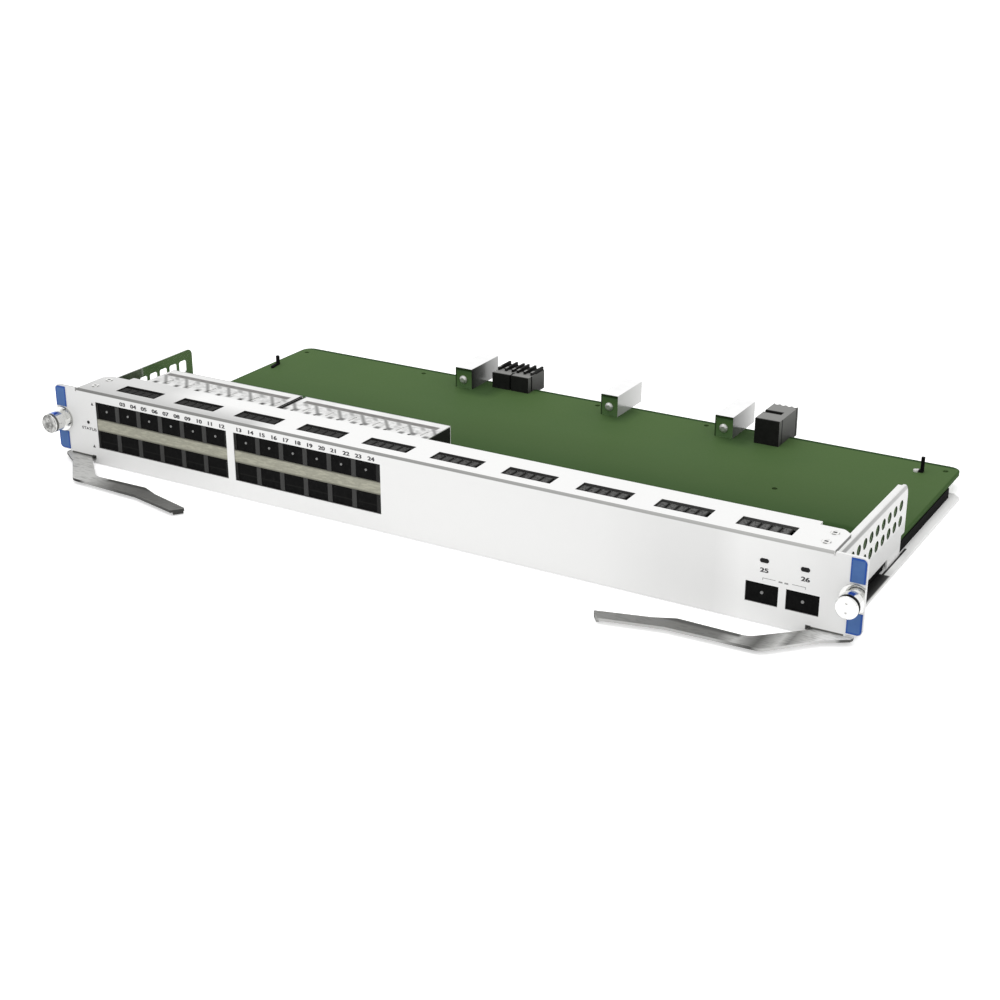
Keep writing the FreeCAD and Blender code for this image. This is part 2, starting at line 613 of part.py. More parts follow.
def lever():
    """Bent flat ejector lever, built on the +x side about its pivot."""
    z0, z1 = LEVER_Z
    arm = [(-1.2, -2.0), (-28.0, -27.4, 8.0), (-60.5, -26.8, 3.0), (-70.5, -31.2, 6.0),
           (-95.0, -37.7, 0.6), (-90.4, -43.3, 0.6), (-62.0, -36.8, 5.0), (-19.3, -35.2, 5.0),
           (-1.0, -15.6, 3.0)]
    jaw = [(9.4, -8.7), (10.0, -6.8), (9.7, -5.2), (7.6, -5.1), (7.0, -4.4), (7.0, -2.6),
           (7.6, -1.9), (9.6, -1.6), (9.2, 2.4), (0.0, 4.0)]
    shape = plate([(PIVOT_X + p[0], PIVOT_Y + p[1]) + p[2:] for p in arm + jaw], z0, z1)
    boss = plate(around(PIVOT_X, PIVOT_Y, BOSS_R, TURNED), z0, z1)
    tip = [(-94.4, -38.3), (-93.4, -37.6), (-90.2, -41.6), (-91.2, -42.3)]
    lip = plate([(PIVOT_X + a, PIVOT_Y + b) for a, b in tip], 0.3, z1)
    hole = rod_z(PIVOT_X, PIVOT_Y, z0 - EDGE, z1 + EDGE, PIN_R + PIN_FIT)
    return fuse([shape, boss, lip]).cut(hole)


def lever_pin():
    shank = rod_z(PIVOT_X, PIVOT_Y, 0, LEVER_Z[1] + GAP, PIN_R)
    head = plate(around(PIVOT_X, PIVOT_Y, PIN_HEAD_R, 24), LEVER_Z[1] + GAP,
                 LEVER_Z[1] + GAP + PIN_HEAD_T)
    return fuse([shank, head])


def guide_block(x0, x1):
    """Receptacle for a backplane guide pin, screwed to the board edge."""
    block = box(x0, x1, GUIDE_Y[0], GUIDE_Y[1], BOARD_Z1, GUIDE_Z1)
    middle = (x0 + x1) / 2
    return block.cut(rod_y(middle, GUIDE_Y[1] - GUIDE_BORE_L, GUIDE_Y[1] + EDGE, GUIDE_SCREW_Z + 0.7,
                           GUIDE_BORE_R))


def guide_screws():
    """Domed heads on the front of the guide blocks."""
    heads = []
    for x0, x1 in GUIDE_X:
        x = (x0 + x1) / 2
        y, r = GUIDE_Y[0], GUIDE_SCREW_R
        rim = barrel(x, GUIDE_SCREW_Z, y - 0.6, y, r, r, SIDES)
        dome = barrel(x, GUIDE_SCREW_Z, y - 1.6, y - 0.6, r - 1.1, r, SIDES)
        heads.append(fuse([rim, dome]))
    return Part.makeCompound(heads)


def twin_connector():
    """Two side by side receptacles with ribbed tops."""
    x0, x1 = TWIN_X
    y0, y1 = TWIN_Y
    half = (x0 + x1) / 2
    shapes = [box(x0, x1, y0 + 4.6, y1, BOARD_Z1, TWIN_Z[0]),
              box(x0, x1, BOARD_Y1 + FIT, y1, BOARD_Z0, BOARD_Z1 + EDGE)]
    for a, b in ((x0, half - 0.5), (half + 0.5, x1)):
        shapes.append(box(a, b, y0, y0 + 3.4, BOARD_Z1, TWIN_Z[0]))
        shapes.append(box(a + 0.5, b - 0.5, y0 + 3.4, y0 + 4.6, BOARD_Z1, TWIN_Z[0]))
        for k in range(3):
            rib = a + 1.1 + k * (b - a - 2.2) / 2
            shapes.append(box(rib - 0.6, rib + 0.6, y0 + 5.5, y1, TWIN_Z[0], TWIN_Z[1]))
    return fuse(shapes)


def tall_connector():
    x0, x1 = TALL_X
    y0, y1 = TALL_Y
    whole = fuse([box(x0, x1, y0, y1, BOARD_Z1, TALL_Z1),
                  box(x0, x1, BOARD_Y1 + FIT, y1, BOARD_Z0, BOARD_Z1 + EDGE)])
    tools = [box(x0 - EDGE, x1 - 3.6, y0 + 11.6, y0 + 14.0, TALL_Z1 - 1.8, TALL_Z1 + EDGE),
             box(x1 - 1.0, x1 + EDGE, y1 - 2.6, y1 - 1.8, BOARD_Z0 - EDGE, TALL_Z1 + EDGE)]
    pitch = (x1 - x0) / 4
    for k in range(4):
        x = x0 + pitch * (k + 0.5)
        tools.append(plate(around(x, y1, 1.2, 8), TALL_Z1 - 4.0, TALL_Z1 + EDGE))
    return cut(whole, tools)


def board_clip_left():
    """Small angled foot with an upright latch, near the left rail."""
    x, y = 5.4 - BOARD_HALF, BOARD_Y1 - 37.5
    foot = plate([(x - 1.7, y + 1.6), (x, y - 7.4, 0.4), (x + 1.4, y - 7.1, 0.4), (x, y + 1.8)],
                 BOARD_Z1, BOARD_Z1 + 1.2)
    return fuse([foot, box(x - 1.6, x, y, y + 1.6, BOARD_Z1, BOARD_Z1 + 5.4)])


def board_clip_right():
    """Upright latch on a short foot with a round end."""
    x, y = BOARD_HALF - 17.3, BOARD_Y1 - 15.3
    foot = box(x - 2.0, x + 1.6, y - 0.9, y + 1.6, BOARD_Z1, BOARD_Z1 + 1.0)
    end = plate(around(x - 2.0, y - 0.2, 1.5, 10), BOARD_Z1, BOARD_Z1 + 1.0)
    return fuse([foot, end, box(x, x + 1.6, y, y + 1.6, BOARD_Z1, BOARD_Z1 + 8.0)])


os.makedirs("parts", exist_ok=True)
save("face_plate", face_plate())
save("contact_fingers", Part.makeCompound([finger_strip(x) for x in slots()]))
save("left_port_cage", cage(0))
save("right_port_cage", cage(1))
save("left_port_band", band(0))
save("right_port_band", band(1))
save("lower_port_plugs", plug_row("lower"))
save("upper_port_plugs", plug_row("upper"))
save("left_port_connectors", connector_bank(0))
save("right_port_connectors", connector_bank(1))
save("uplink_cages", uplink_cages())
save("uplink_plugs", uplink_plugs())
save("uplink_connectors", uplink_connectors())
save("light_lenses", light_lenses())
save("status_lens", status_lens())
save("tray", tray())
save("main_board", board())
save("standoffs", standoffs())
save("right_board_rail", board_rail())
save("left_board_rail", flip(board_rail()))
save("right_side_wall", side_wall(False))
save("left_side_wall", flip(side_wall(True)))
save("flange_screws", flange_screws())
save("right_ear_pads", ear_pads())
save("left_ear_pads", flip(ear_pads()))
save("right_screw_ferrule", screw_ferrule())
save("left_screw_ferrule", flip(screw_ferrule()))
save("right_captive_screw", screw_knob())
save("left_captive_screw", flip(screw_knob()))
save("right_screw_ring", retaining_ring())
save("left_screw_ring", flip(retaining_ring()))
save("right_screw_spring", screw_spring())
save("left_screw_spring", flip(screw_spring()))
save("right_ejector_lever", lever())
save("left_ejector_lever", flip(lever()))
save("right_lever_pin", lever_pin())
save("left_lever_pin", flip(lever_pin()))
for side, (x0, x1) in zip(("left", "middle", "right"), GUIDE_X):
    save(side + "_guide_block", guide_block(x0, x1))
save("guide_block_screws", guide_screws())
save("twin_rear_connector", twin_connector())
save("tall_rear_connector", tall_connector())
save("left_board_clip", board_clip_left())
save("right_board_clip", board_clip_right())
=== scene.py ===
import math
import bmesh
import bpy
from mathutils import Matrix, Vector


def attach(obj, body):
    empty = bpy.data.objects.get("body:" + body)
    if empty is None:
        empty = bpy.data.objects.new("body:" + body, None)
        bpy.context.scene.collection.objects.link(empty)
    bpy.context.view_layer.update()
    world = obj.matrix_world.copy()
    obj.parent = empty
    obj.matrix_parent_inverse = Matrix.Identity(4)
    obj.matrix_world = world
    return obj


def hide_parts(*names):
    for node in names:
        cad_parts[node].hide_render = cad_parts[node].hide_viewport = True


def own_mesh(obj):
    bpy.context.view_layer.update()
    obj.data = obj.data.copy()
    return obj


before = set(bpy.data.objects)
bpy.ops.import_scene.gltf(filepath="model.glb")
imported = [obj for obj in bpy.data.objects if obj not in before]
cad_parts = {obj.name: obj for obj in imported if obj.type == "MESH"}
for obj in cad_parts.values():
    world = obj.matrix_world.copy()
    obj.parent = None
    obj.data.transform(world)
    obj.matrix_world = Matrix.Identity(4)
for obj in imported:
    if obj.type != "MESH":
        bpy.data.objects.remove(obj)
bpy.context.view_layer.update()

# Switch line card. x = 0 is the middle of the face plate, y = 0 its front face, z = 0 the
# tray's underside, all in metres, so sizes below are millimetres times MM.

MM = 0.001

# where the CAD has the things that finishes and marks follow, in mm
PORT_FIRST = (-186.55, -96.2)   # x of the first port column in each group
PORT_PITCH = 14.25
PORT_N = 6                      # columns in a group
PLUG_FRONT = 0.6                # y of the plugs' front faces
UPLINK_FIRST = 176.1            # x of the first separate port
UPLINK_PITCH = 18.2
FLANGE_HALF = 206.3             # half the length of the top flange
SHEET_UNDER = 38.5              # z of the flange's underside
SLOT_FIRST = -172.5             # x of the first slot in the flange
SLOT_PITCH = 38.333
SLOT_N = 10
SLOT_W = 25.5
SLOT_Y = (7.0, 16.3)
FINGER_PITCH = 4.75
FLANGE_SCREW_Y = (8.0, 18.5)
KNOB_GROOVE = (-10.4, -9.2)     # y of the groove round each knob
CAGE_TOP = 34.2
CAGE_LIP = 2.4                  # y where the ribs between the ports end
CAGE_REAR = 61.9
CAGE_HOLLOW = (8.0, 33.75)      # z from the floor to the roof inside the cages
SEAM = (53.7, 57.4)             # y of the folded seam across the cage tops
WALL_X = (205.2, 206.0)         # inner and outer face of each side wall
TWIN_SHELF = (190.5, 199.5)
TALL_TOP = (181.3, 208.1)
TALL_SLOT = (192.0, 196.6)

# what the finishes and marks add, in mm where it is a length
LEAN = -0.82           # how far the grey streaks on the cage tops run in x for each mm of y
THREAD = 0.8           # spacing of the threads of the gasket cloth, coarser than real
CAPITAL = 0.73         # height of the built-in font's capitals, as a share of its size
WIDEN = 1.4            # how much wider than the built-in letters the printed ones are
BOLD = (-0.1, 0.1)     # each number is printed twice, shifted by these, so that it is bold
FATTEN = 0.03          # how much the strokes are fattened, as a share of the height
INK = 0.03             # how far print stands off the plate
NUMBER_HEIGHT = 2.0
THIN = 0.3             # thickness of the black shade strips and of the spring tongues


def linear(code):
    """Linear RGBA of an sRGB hex colour."""
    parts = [int(code[k:k + 2], 16) / 255 for k in (1, 3, 5)]
    flat = [c / 12.92 if c <= 0.04045 else ((c + 0.055) / 1.055) ** 2.4 for c in parts]
    return (flat[0], flat[1], flat[2], 1.0)


def paler(code, step):
    """An sRGB hex colour with each of its channels raised by a step of 0 to 255."""
    return "#%02X%02X%02X" % tuple(min(255, int(code[k:k + 2], 16) + step) for k in (1, 3, 5))


def add(tree, kind, inputs=(), **settings):
    """Adds a node with its settings, and each input as a value or a socket to link."""
    made = tree.nodes.new(kind)
    for name, value in settings.items():
        setattr(made, name, value)
    for name, value in dict(inputs).items():
        if isinstance(value, bpy.types.NodeSocket):
            tree.links.new(value, made.inputs[name])
        else:
            made.inputs[name].default_value = value
    return made


def start(name, **shader):
    """New material: its tree and its shader, with the values that are the same all over."""
    material = bpy.data.materials.new(name)
    material.use_nodes = True
    tree = material.node_tree
    tree.nodes.clear()
    bsdf = add(tree, "ShaderNodeBsdfPrincipled", {k.replace("_", " "): v for k, v in shader.items()})
    add(tree, "ShaderNodeOutputMaterial", {"Surface": bsdf.outputs[0]})
    return material, tree, bsdf


def product(tree, *masks):
    """Several masks multiplied."""
    whole = masks[0]
    for mask in masks[1:]:
        whole = add(tree, "ShaderNodeMath", {0: whole, 1: mask}, operation="MULTIPLY").outputs[0]
    return whole


def along(tree, axis, what="Object"):
    """How far along one axis of the card a point lies or, with Normal, its face looks."""
    place = add(tree, "ShaderNodeTexCoord").outputs[what]
    return add(tree, "ShaderNodeSeparateXYZ", {0: place}).outputs["XYZ".index(axis)]


def within(tree, soft, **ranges):
    """Mask that is 1 inside ranges of x, y, z or wide (x to either side), in mm."""
    steps = []
    for axis, (low, high) in ranges.items():
        if axis == "wide":
            value = add(tree, "ShaderNodeMath", {0: along(tree, "X")}, operation="ABSOLUTE").outputs[0]
        else:
            value = along(tree, axis.upper())
        for edge, away in ((low, soft), (high, -soft)):
            steps.append(add(tree, "ShaderNodeMapRange", {"Value": value, "From Min": (edge - away) * MM,
                                                          "From Max": (edge + away) * MM}).outputs[0])
    return product(tree, *steps)


def ramp_along(tree, axis, low, high):
    """0 to 1 along one axis between two places in mm."""
    return add(tree, "ShaderNodeMapRange", {"Value": along(tree, axis), "From Min": low * MM,
                                            "From Max": high * MM}).outputs[0]


def gradient(tree, axis, *stops):
    """Colours along one axis, each stop a place in mm and a colour, blended between stops."""
    base = linear(stops[0][1])
    for (low, _), (high, code) in zip(stops, stops[1:]):
        base = over(tree, base, (ramp_along(tree, axis, low, high), code))
    return base


def patches(tree, size, low=0.35, high=0.65, stretch=(1, 1, 1)):
    """Soft cloudy mask with patches of a size in mm, longest where stretch is least."""
    place = add(tree, "ShaderNodeTexCoord").outputs["Object"]
    drawn = add(tree, "ShaderNodeMapping", {"Vector": place, "Scale": stretch}).outputs[0]
    cloud = add(tree, "ShaderNodeTexNoise", {"Vector": drawn, "Scale": 1 / (size * MM), "Detail": 3.0})
    return add(tree, "ShaderNodeMapRange", {"Value": cloud.outputs[0], "From Min": low,
                                            "From Max": high}).outputs[0]


def mottle(tree, first, second, size, low=0.35, high=0.65):
    """Two colours that drift into each other over patches of a size in mm."""
    return over(tree, linear(first), (patches(tree, size, low, high), second))


def facing(tree, axis, sign=1):
    """Mask of the faces that look along one axis of the card, or against it with sign -1."""
    return add(tree, "ShaderNodeMapRange", {"Value": along(tree, axis, "Normal"), "From Min": 0.4 * sign,
                                            "From Max": 0.7 * sign}).outputs[0]


def repeated(tree, first, pitch, low, high, soft, lean, middle):
    """Mask that is 1 between low and high past every repeat of a pitch along x, all in mm.

    The stripes run sideways by the lean in x for each mm of y away from the middle.
    """
    away = add(tree, "ShaderNodeMath", {0: along(tree, "Y"), 1: middle * MM},
               operation="SUBTRACT").outputs[0]
    slide = add(tree, "ShaderNodeMath", {0: away, 1: lean}, operation="MULTIPLY").outputs[0]
    upright = add(tree, "ShaderNodeMath", {0: along(tree, "X"), 1: slide}, operation="SUBTRACT").outputs[0]
    past = add(tree, "ShaderNodeMath", {0: upright, 1: first * MM}, operation="SUBTRACT").outputs[0]
    turn = add(tree, "ShaderNodeMath", {0: past, 1: pitch * MM}, operation="FLOORED_MODULO").outputs[0]
    rise = add(tree, "ShaderNodeMapRange", {"Value": turn, "From Min": (low - soft) * MM,
                                            "From Max": (low + soft) * MM}).outputs[0]
    fall = add(tree, "ShaderNodeMapRange", {"Value": turn, "From Min": (high + soft) * MM,
                                            "From Max": (high - soft) * MM}).outputs[0]
    return product(tree, rise, fall)


def over(tree, base, *layers):
    """Paints (mask, colour) layers over a base colour and returns the last socket."""
    for mask, colour in layers:
        top = linear(colour) if isinstance(colour, str) else colour
        base = add(tree, "ShaderNodeMix", {0: mask, 6: base, 7: top}, data_type="RGBA").outputs[2]
    return base


def relief(tree, bsdf, size, depth, stretch=(1, 1, 1)):
    """Fine bump with grains of a size in mm, longest where stretch is least, and gloss to match."""
    place = add(tree, "ShaderNodeTexCoord").outputs["Object"]
    drawn = add(tree, "ShaderNodeMapping", {"Vector": place, "Scale": stretch}).outputs[0]
    grain = add(tree, "ShaderNodeTexNoise", {"Vector": drawn, "Scale": 1 / (size * MM), "Detail": 4.0})
    bump = add(tree, "ShaderNodeBump", {"Height": grain.outputs[0], "Strength": 0.5,
                                        "Distance": depth * MM})
    tree.links.new(bump.outputs[0], bsdf.inputs["Normal"])
    middle = bsdf.inputs["Roughness"].default_value
    gloss = add(tree, "ShaderNodeMapRange", {"Value": grain.outputs[0], "To Min": middle * 0.85,
                                             "To Max": middle * 1.15}).outputs[0]
    tree.links.new(gloss, bsdf.inputs["Roughness"])


def powder_coated_steel():
    """Off-white polyester powder on the bent face plate: a soft, even, slightly pebbled white.

    All of these are painted light and shade: the front is painted whitest over the second port group and by
    the separate ports, the flange has painted shade at its left end, the bend is painted as a grey line of
    shade, and the walls of the slots and of the port windows, the notches and the flange's cut ends are
    painted dark as shade.
    """
    material, tree, bsdf = start("powder_coated_steel", Roughness=0.42, Specular_IOR_Level=0.3)
    # painted light and shade along the front: whitest over the second port group and by the separate ports
    front = gradient(tree, "X", (-200, "#E6E6E5"), (-170, "#EEEEED"), (-100, "#F6F6F5"), (40, "#F2F2F1"),
                     (100, "#F0F0EF"), (130, "#EAEAE9"), (154, "#EAEAE9"), (166, "#F7F7F6"),
                     (190, "#F3F3F2"), (205, "#EAEAE9"))
    face = within(tree, 0.3, y=(-5, 0.3))
    # painted shade on the flange's left end
    flange_front_shade = within(tree, 8, x=(-240, -88), y=(-10, 11))
    flange_left_shade = within(tree, 10, x=(-240, -150), y=(-10, 40))
    # painted shade: a grey line along the bend, darker to the left
    bend_shade_tone = gradient(tree, "X", (-200, "#767674"), (0, "#929290"), (200, "#B0B0AE"))
    bend = within(tree, 0.12, wide=(-1, FLANGE_HALF), y=(-0.2, 1.2), z=(38.9, 41))
    # painted shade on the flange's cut ends, in the port windows, on the slot walls and along the notches
    # above the levers
    end = within(tree, 0.05, wide=(FLANGE_HALF - 0.1, 206.45), y=(1.4, 30), z=(38, 40.2))
    mouth = within(tree, 0.05, y=(0.05, 1.45), z=(9.0, 34.6), wide=(-1, 203))
    walls = within(tree, 0.03, y=(SLOT_Y[0] - 0.05, SLOT_Y[1] + 0.05), z=(38.6, 39.95), wide=(-1, 190))
    slot_wall_shade_tone = gradient(tree, "X", (-180, "#1E1E1D"), (0, "#3A3A39"), (180, "#565655"))
    notch = within(tree, 0.1, y=(-1, 0.2), z=(3.3, 4.1), wide=(197.4, 213))
    notch_end = within(tree, 0.15, y=(-1, 0.2), z=(2.2, 4.4), wide=(196.3, 198.7))
    tree.links.new(over(tree, linear("#F0F0EF"), (flange_left_shade, "#D2D2D1"), (flange_front_shade, "#C0C0BF"), (face, front),
                        (mouth, "#8C8C8A"), (bend, bend_shade_tone), (end, "#5A5A58"), (walls, slot_wall_shade_tone),
                        (notch, "#5A5A58"), (notch_end, "#2E2E2D")), bsdf.inputs["Base Color"])
    relief(tree, bsdf, 0.6, 0.02)
    return material


def powder_coated_tray():
    """The same white powder on the flat tray, with painted shade: black under the right wall, and a dark
    line behind it."""
    material, tree, bsdf = start("powder_coated_tray", Roughness=0.5, Specular_IOR_Level=0.3)
    up = facing(tree, "Z")
    # painted shade under the right wall and in the gap behind it
    right_wall_shade = product(tree, up, within(tree, 0.4, x=(190, 209.6), y=(12, 71), z=(0.8, 1.6)))
    right_wall_shade_tone = gradient(tree, "X", (206.6, "#080808"), (209.4, "#333332"))
    gap_shade = product(tree, up, within(tree, 0.1, x=(205.8, 206.9), y=(70, 104), z=(0.8, 1.6)))
    tree.links.new(over(tree, mottle(tree, "#F6F6F5", "#F0F0EF", 40), (right_wall_shade, right_wall_shade_tone), (gap_shade, "#1A1A19")),
                   bsdf.inputs["Base Color"])
    relief(tree, bsdf, 0.6, 0.02)
    return material


def nickel_plated_cage():
    """Thin nickel-plated steel, stamped: pale satin tops, and painted shade on the faces down in the ports.

    A broad folded seam crosses the tops near their rear; its shade is painted as a darker band. Soft grey
    streaks run to it from the vents, with grey halos round the vents, a dark line of painted shade where
    two cages meet and painted shade along the rear edge. The outermost side has a painted reflection of the
    green board, seen in the wall beside it.
    """
    material, tree, bsdf = start("nickel_plated_cage", Metallic=0.3, Roughness=0.45,
                                 Specular_IOR_Level=0.2)
    pale = gradient(tree, "X", (-190, "#E2E2E1"), (-100, "#F0F0EF"))
    # painted shade on the rib fronts, darkest at the ends of each group, and inside the ports
    ribs = within(tree, 0.1, y=(-1, CAGE_LIP), z=(0, 36))
    inside = within(tree, 0.1, y=(CAGE_LIP, CAGE_REAR), z=CAGE_HOLLOW)
    # painted reflection of the green board, seen in the wall beside it
    outer_side_reflection = within(tree, 0.03, y=(CAGE_LIP, CAGE_REAR), z=CAGE_HOLLOW, x=(-194.2, -193.75))
    top = within(tree, 0.1, z=(CAGE_TOP - 0.3, 36))
    # painted shade in the gap where two cages meet and along the cages' rear edge; the folded seam is
    # painted as a darker band, its shade
    joint_shade = product(tree, top, within(tree, 0.1, x=(-107.9, -104.1)))
    rear = within(tree, 0.2, y=(CAGE_REAR, 63), z=(CAGE_TOP - 0.3, 36))
    seam_shade_tone = over(tree, linear("#6C6A68"), (patches(tree, 3), "#807E7C"))
    cloudy = product(tree, top, within(tree, 1.5, y=(44, 54)), patches(tree, 2.2))
    layers = [(patches(tree, 9), "#E4E4E3"), (ribs, "#3A3A39")]
    for span in ((-196, -192.2), (-109.6, -101.9), (-19.2, -14)):
        layers.append((within(tree, 0.1, y=(-1, CAGE_LIP), z=(0, 36), x=span), "#1A1A19"))
    layers += [(inside, "#1E1E1D"), (outer_side_reflection, "#66735C"), (cloudy, "#C6C6C5")]

    # what repeats with the ports: y range, low and high past each port, softness, lean, colour
    for reach, low, high, soft, lean, code in (
            ((43.5, 53.9), 2.5, 4.7, 0.7, LEAN, "#8E8E8D"),     # streaks from the long vents
            ((50.0, 53.9), 10.0, 12.8, 0.8, LEAN, "#A8A8A7"),   # short streaks between them
            ((40.0, 43.8), 10.2, 13.3, 0.7, 0.0, "#7C7C7B"),    # halos behind the short vents
            ((41.7, 45.0), 2.0, 5.4, 0.7, 0.0, "#70706F")):     # feet of the long vents
        stripes = repeated(tree, PORT_FIRST[0], PORT_PITCH, low, high, soft, lean, 43.0)
        layers.append((product(tree, top, within(tree, 0.8, y=reach), stripes), code))

    for span in ((-192, -110.6), (-100.6, -19)):
        layers.append((within(tree, 0.4, y=SEAM, x=span), seam_shade_tone))
    layers += [(joint_shade, "#1A1A19"), (rear, "#B0B0AF")]
    tree.links.new(over(tree, pale, *layers), bsdf.inputs["Base Color"])
    relief(tree, bsdf, 0.8, 0.01, (1, 0.15, 1))
    return material


def solder_mask_laminate():
    """Glass and epoxy board under matt green solder mask: darker at its rim, with painted shade in strips
    where it comes out from behind the cages, and painted shadows by the guide blocks."""
    material, tree, bsdf = start("solder_mask_laminate", Roughness=0.65, Specular_IOR_Level=0.04)
    # painted shade, darkest in a band near y 97.5 by the flange and the cages, paler towards the rear
    depth = gradient(tree, "Y", (88, "#3E5630"), (97.5, "#2C461F"), (101.5, "#3E5630"), (120, "#465D36"),
                     (150, "#4C643B"), (190, "#4E673C"))
    cloud = product(tree, patches(tree, 60, 0.45, 0.75), ramp_along(tree, "Y", 100, 160))
    shade_behind_cages = within(tree, 1.2, x=(-220, -58), y=(119, 123.6))
    rear = within(tree, 0.5, y=(196.8, 199.6))
    sides = within(tree, 0.4, wide=(203.6, 204.9))
    layers = [(cloud, "#4A633B"), (shade_behind_cages, "#33502A"), (rear, "#2A4420"), (sides, "#3A542A")]
    # painted shadows cast by the guide blocks on the board
    for low, high in ((-79, -60), (14, 24), (82, 97)):
        layers.append((within(tree, 4, x=(low, high), y=(174, 197)), "#3C5330"))
    tree.links.new(over(tree, depth, *layers), bsdf.inputs["Base Color"])
    relief(tree, bsdf, 0.9, 0.012)
    return material


def woven_gasket():
    """Conductive cloth over foam: a dull olive beige with the crossing of its threads.

    The threads are drawn at 0.8 mm, several times coarser than real ones, so that they show.
    Pale slubs run along the cloth and its folded rim is darker.
    """
    material, tree, bsdf = start("woven_gasket", Roughness=0.8, Specular_IOR_Level=0.15)
    place = add(tree, "ShaderNodeTexCoord").outputs["Object"]
    waves = [add(tree, "ShaderNodeTexWave", {"Vector": place, "Scale": math.pi / (10 * THREAD * MM)},
                 bands_direction=way).outputs[0] for way in ("X", "Z")]
    crossing = product(tree, *waves)
    base = mottle(tree, "#A4A395", "#9A998B", 1.6)
    slub = patches(tree, 1.3, 0.5, 0.6, (0.3, 1, 1.6))
    rim = add(tree, "ShaderNodeMath", {0: 1.0, 1: within(tree, 0.25, z=(19.5, 24.7), y=(-1, 9))},
              operation="SUBTRACT").outputs[0]
    tree.links.new(over(tree, base, (crossing, "#ACAB9C"), (slub, "#B2B1A1"), (rim, "#7C7B70")),
                   bsdf.inputs["Base Color"])
    bump = add(tree, "ShaderNodeBump", {"Height": crossing, "Strength": 0.6, "Distance": 0.08 * MM})
    tree.links.new(bump.outputs[0], bsdf.inputs["Normal"])
    return material


def moulded_plain(name, code, rough):
    """Moulded nylon or rubber of one colour, also used for the pale plug dots and the black shade strips:
    nearly no gloss, with a faint moulded grain.
    """
    material, tree, bsdf = start(name, Roughness=rough, Specular_IOR_Level=0.05)
    tree.links.new(mottle(tree, code, paler(code, 6), 3), bsdf.inputs["Base Color"])
    relief(tree, bsdf, 0.4, 0.02)
    return material


def plug_rubber():
    """Soft black rubber with a faint parting line across the mouth of each lower plug."""
    material, tree, bsdf = start("moulded_rubber", Roughness=0.7, Specular_IOR_Level=0.05)
    parting = within(tree, 0.15, y=(PLUG_FRONT - 0.2, PLUG_FRONT + 0.1), z=(12.7, 13.3),
                     x=(-200, -15))
    tree.links.new(over(tree, mottle(tree, "#0C0C0C", "#121212", 3), (parting, "#1E1E1D")),
                   bsdf.inputs["Base Color"])
    relief(tree, bsdf, 0.4, 0.02)
    return material


def plated_spring_fingers():
    """Plated spring strip, formed: grey fingers with painted shade at the edges of each finger and below
    them, and painted shade that darkens the strip towards its left end.
    """
    material, tree, bsdf = start("plated_spring_fingers", Metallic=0.1, Roughness=0.6,
                                 Specular_IOR_Level=0.08)
    # painted shade: the strip darkens towards its left end, and the gaps and the parts below the fingers
    # are dark
    crown = gradient(tree, "X", (-180, "#1E1E1D"), (-60, "#2A2A29"), (20, "#4E4E4D"), (180, "#626261"))
    trough = gradient(tree, "X", (-180, "#161615"), (180, "#2C2C2B"))

    # how far a point is past the start of its slot, then past the start of its finger
    first = (SLOT_FIRST - SLOT_W / 2 + 0.3) * MM
    past = add(tree, "ShaderNodeMath", {0: along(tree, "X"), 1: first}, operation="SUBTRACT").outputs[0]
    slot = add(tree, "ShaderNodeMath", {0: past, 1: SLOT_PITCH * MM}, operation="FLOORED_MODULO").outputs[0]
    finger = add(tree, "ShaderNodeMath", {0: slot, 1: FINGER_PITCH * MM},
                 operation="FLOORED_MODULO").outputs[0]
    near = add(tree, "ShaderNodeMapRange", {"Value": finger, "From Min": 0.9 * MM,
                                            "From Max": 0.4 * MM}).outputs[0]
    far = add(tree, "ShaderNodeMapRange", {"Value": finger, "From Min": 3.3 * MM,
                                           "From Max": 3.8 * MM}).outputs[0]
    low = within(tree, 0.25, z=(30, 38.9))
    tree.links.new(over(tree, crown, (patches(tree, 1.1, 0.5, 0.62), trough), (near, trough),
                        (far, trough), (low, trough)), bsdf.inputs["Base Color"])
    relief(tree, bsdf, 0.7, 0.03)
    return material


def turned_bright(name, first, second, rough, *marks, shine=0.6):
    """Turned and plated metal: fine rings round its axis draw the light out.

    Each mark is a set of ranges in mm and the colour painted there: painted shade in a groove or recess or
    on a lip, a painted reflection, or two colours that drift into each other.
    """
    material, tree, bsdf = start(name, Metallic=shine, Roughness=rough)
    base = mottle(tree, first, second, 3)
    for ranges, code in marks:
        tone = code if isinstance(code, str) else mottle(tree, code[0], code[1], 2.0)
        base = over(tree, base, (within(tree, 0.12, **ranges), tone))
    tree.links.new(base, bsdf.inputs["Base Color"])
    relief(tree, bsdf, 0.5, 0.008, (0.15, 1, 0.15))
    return material


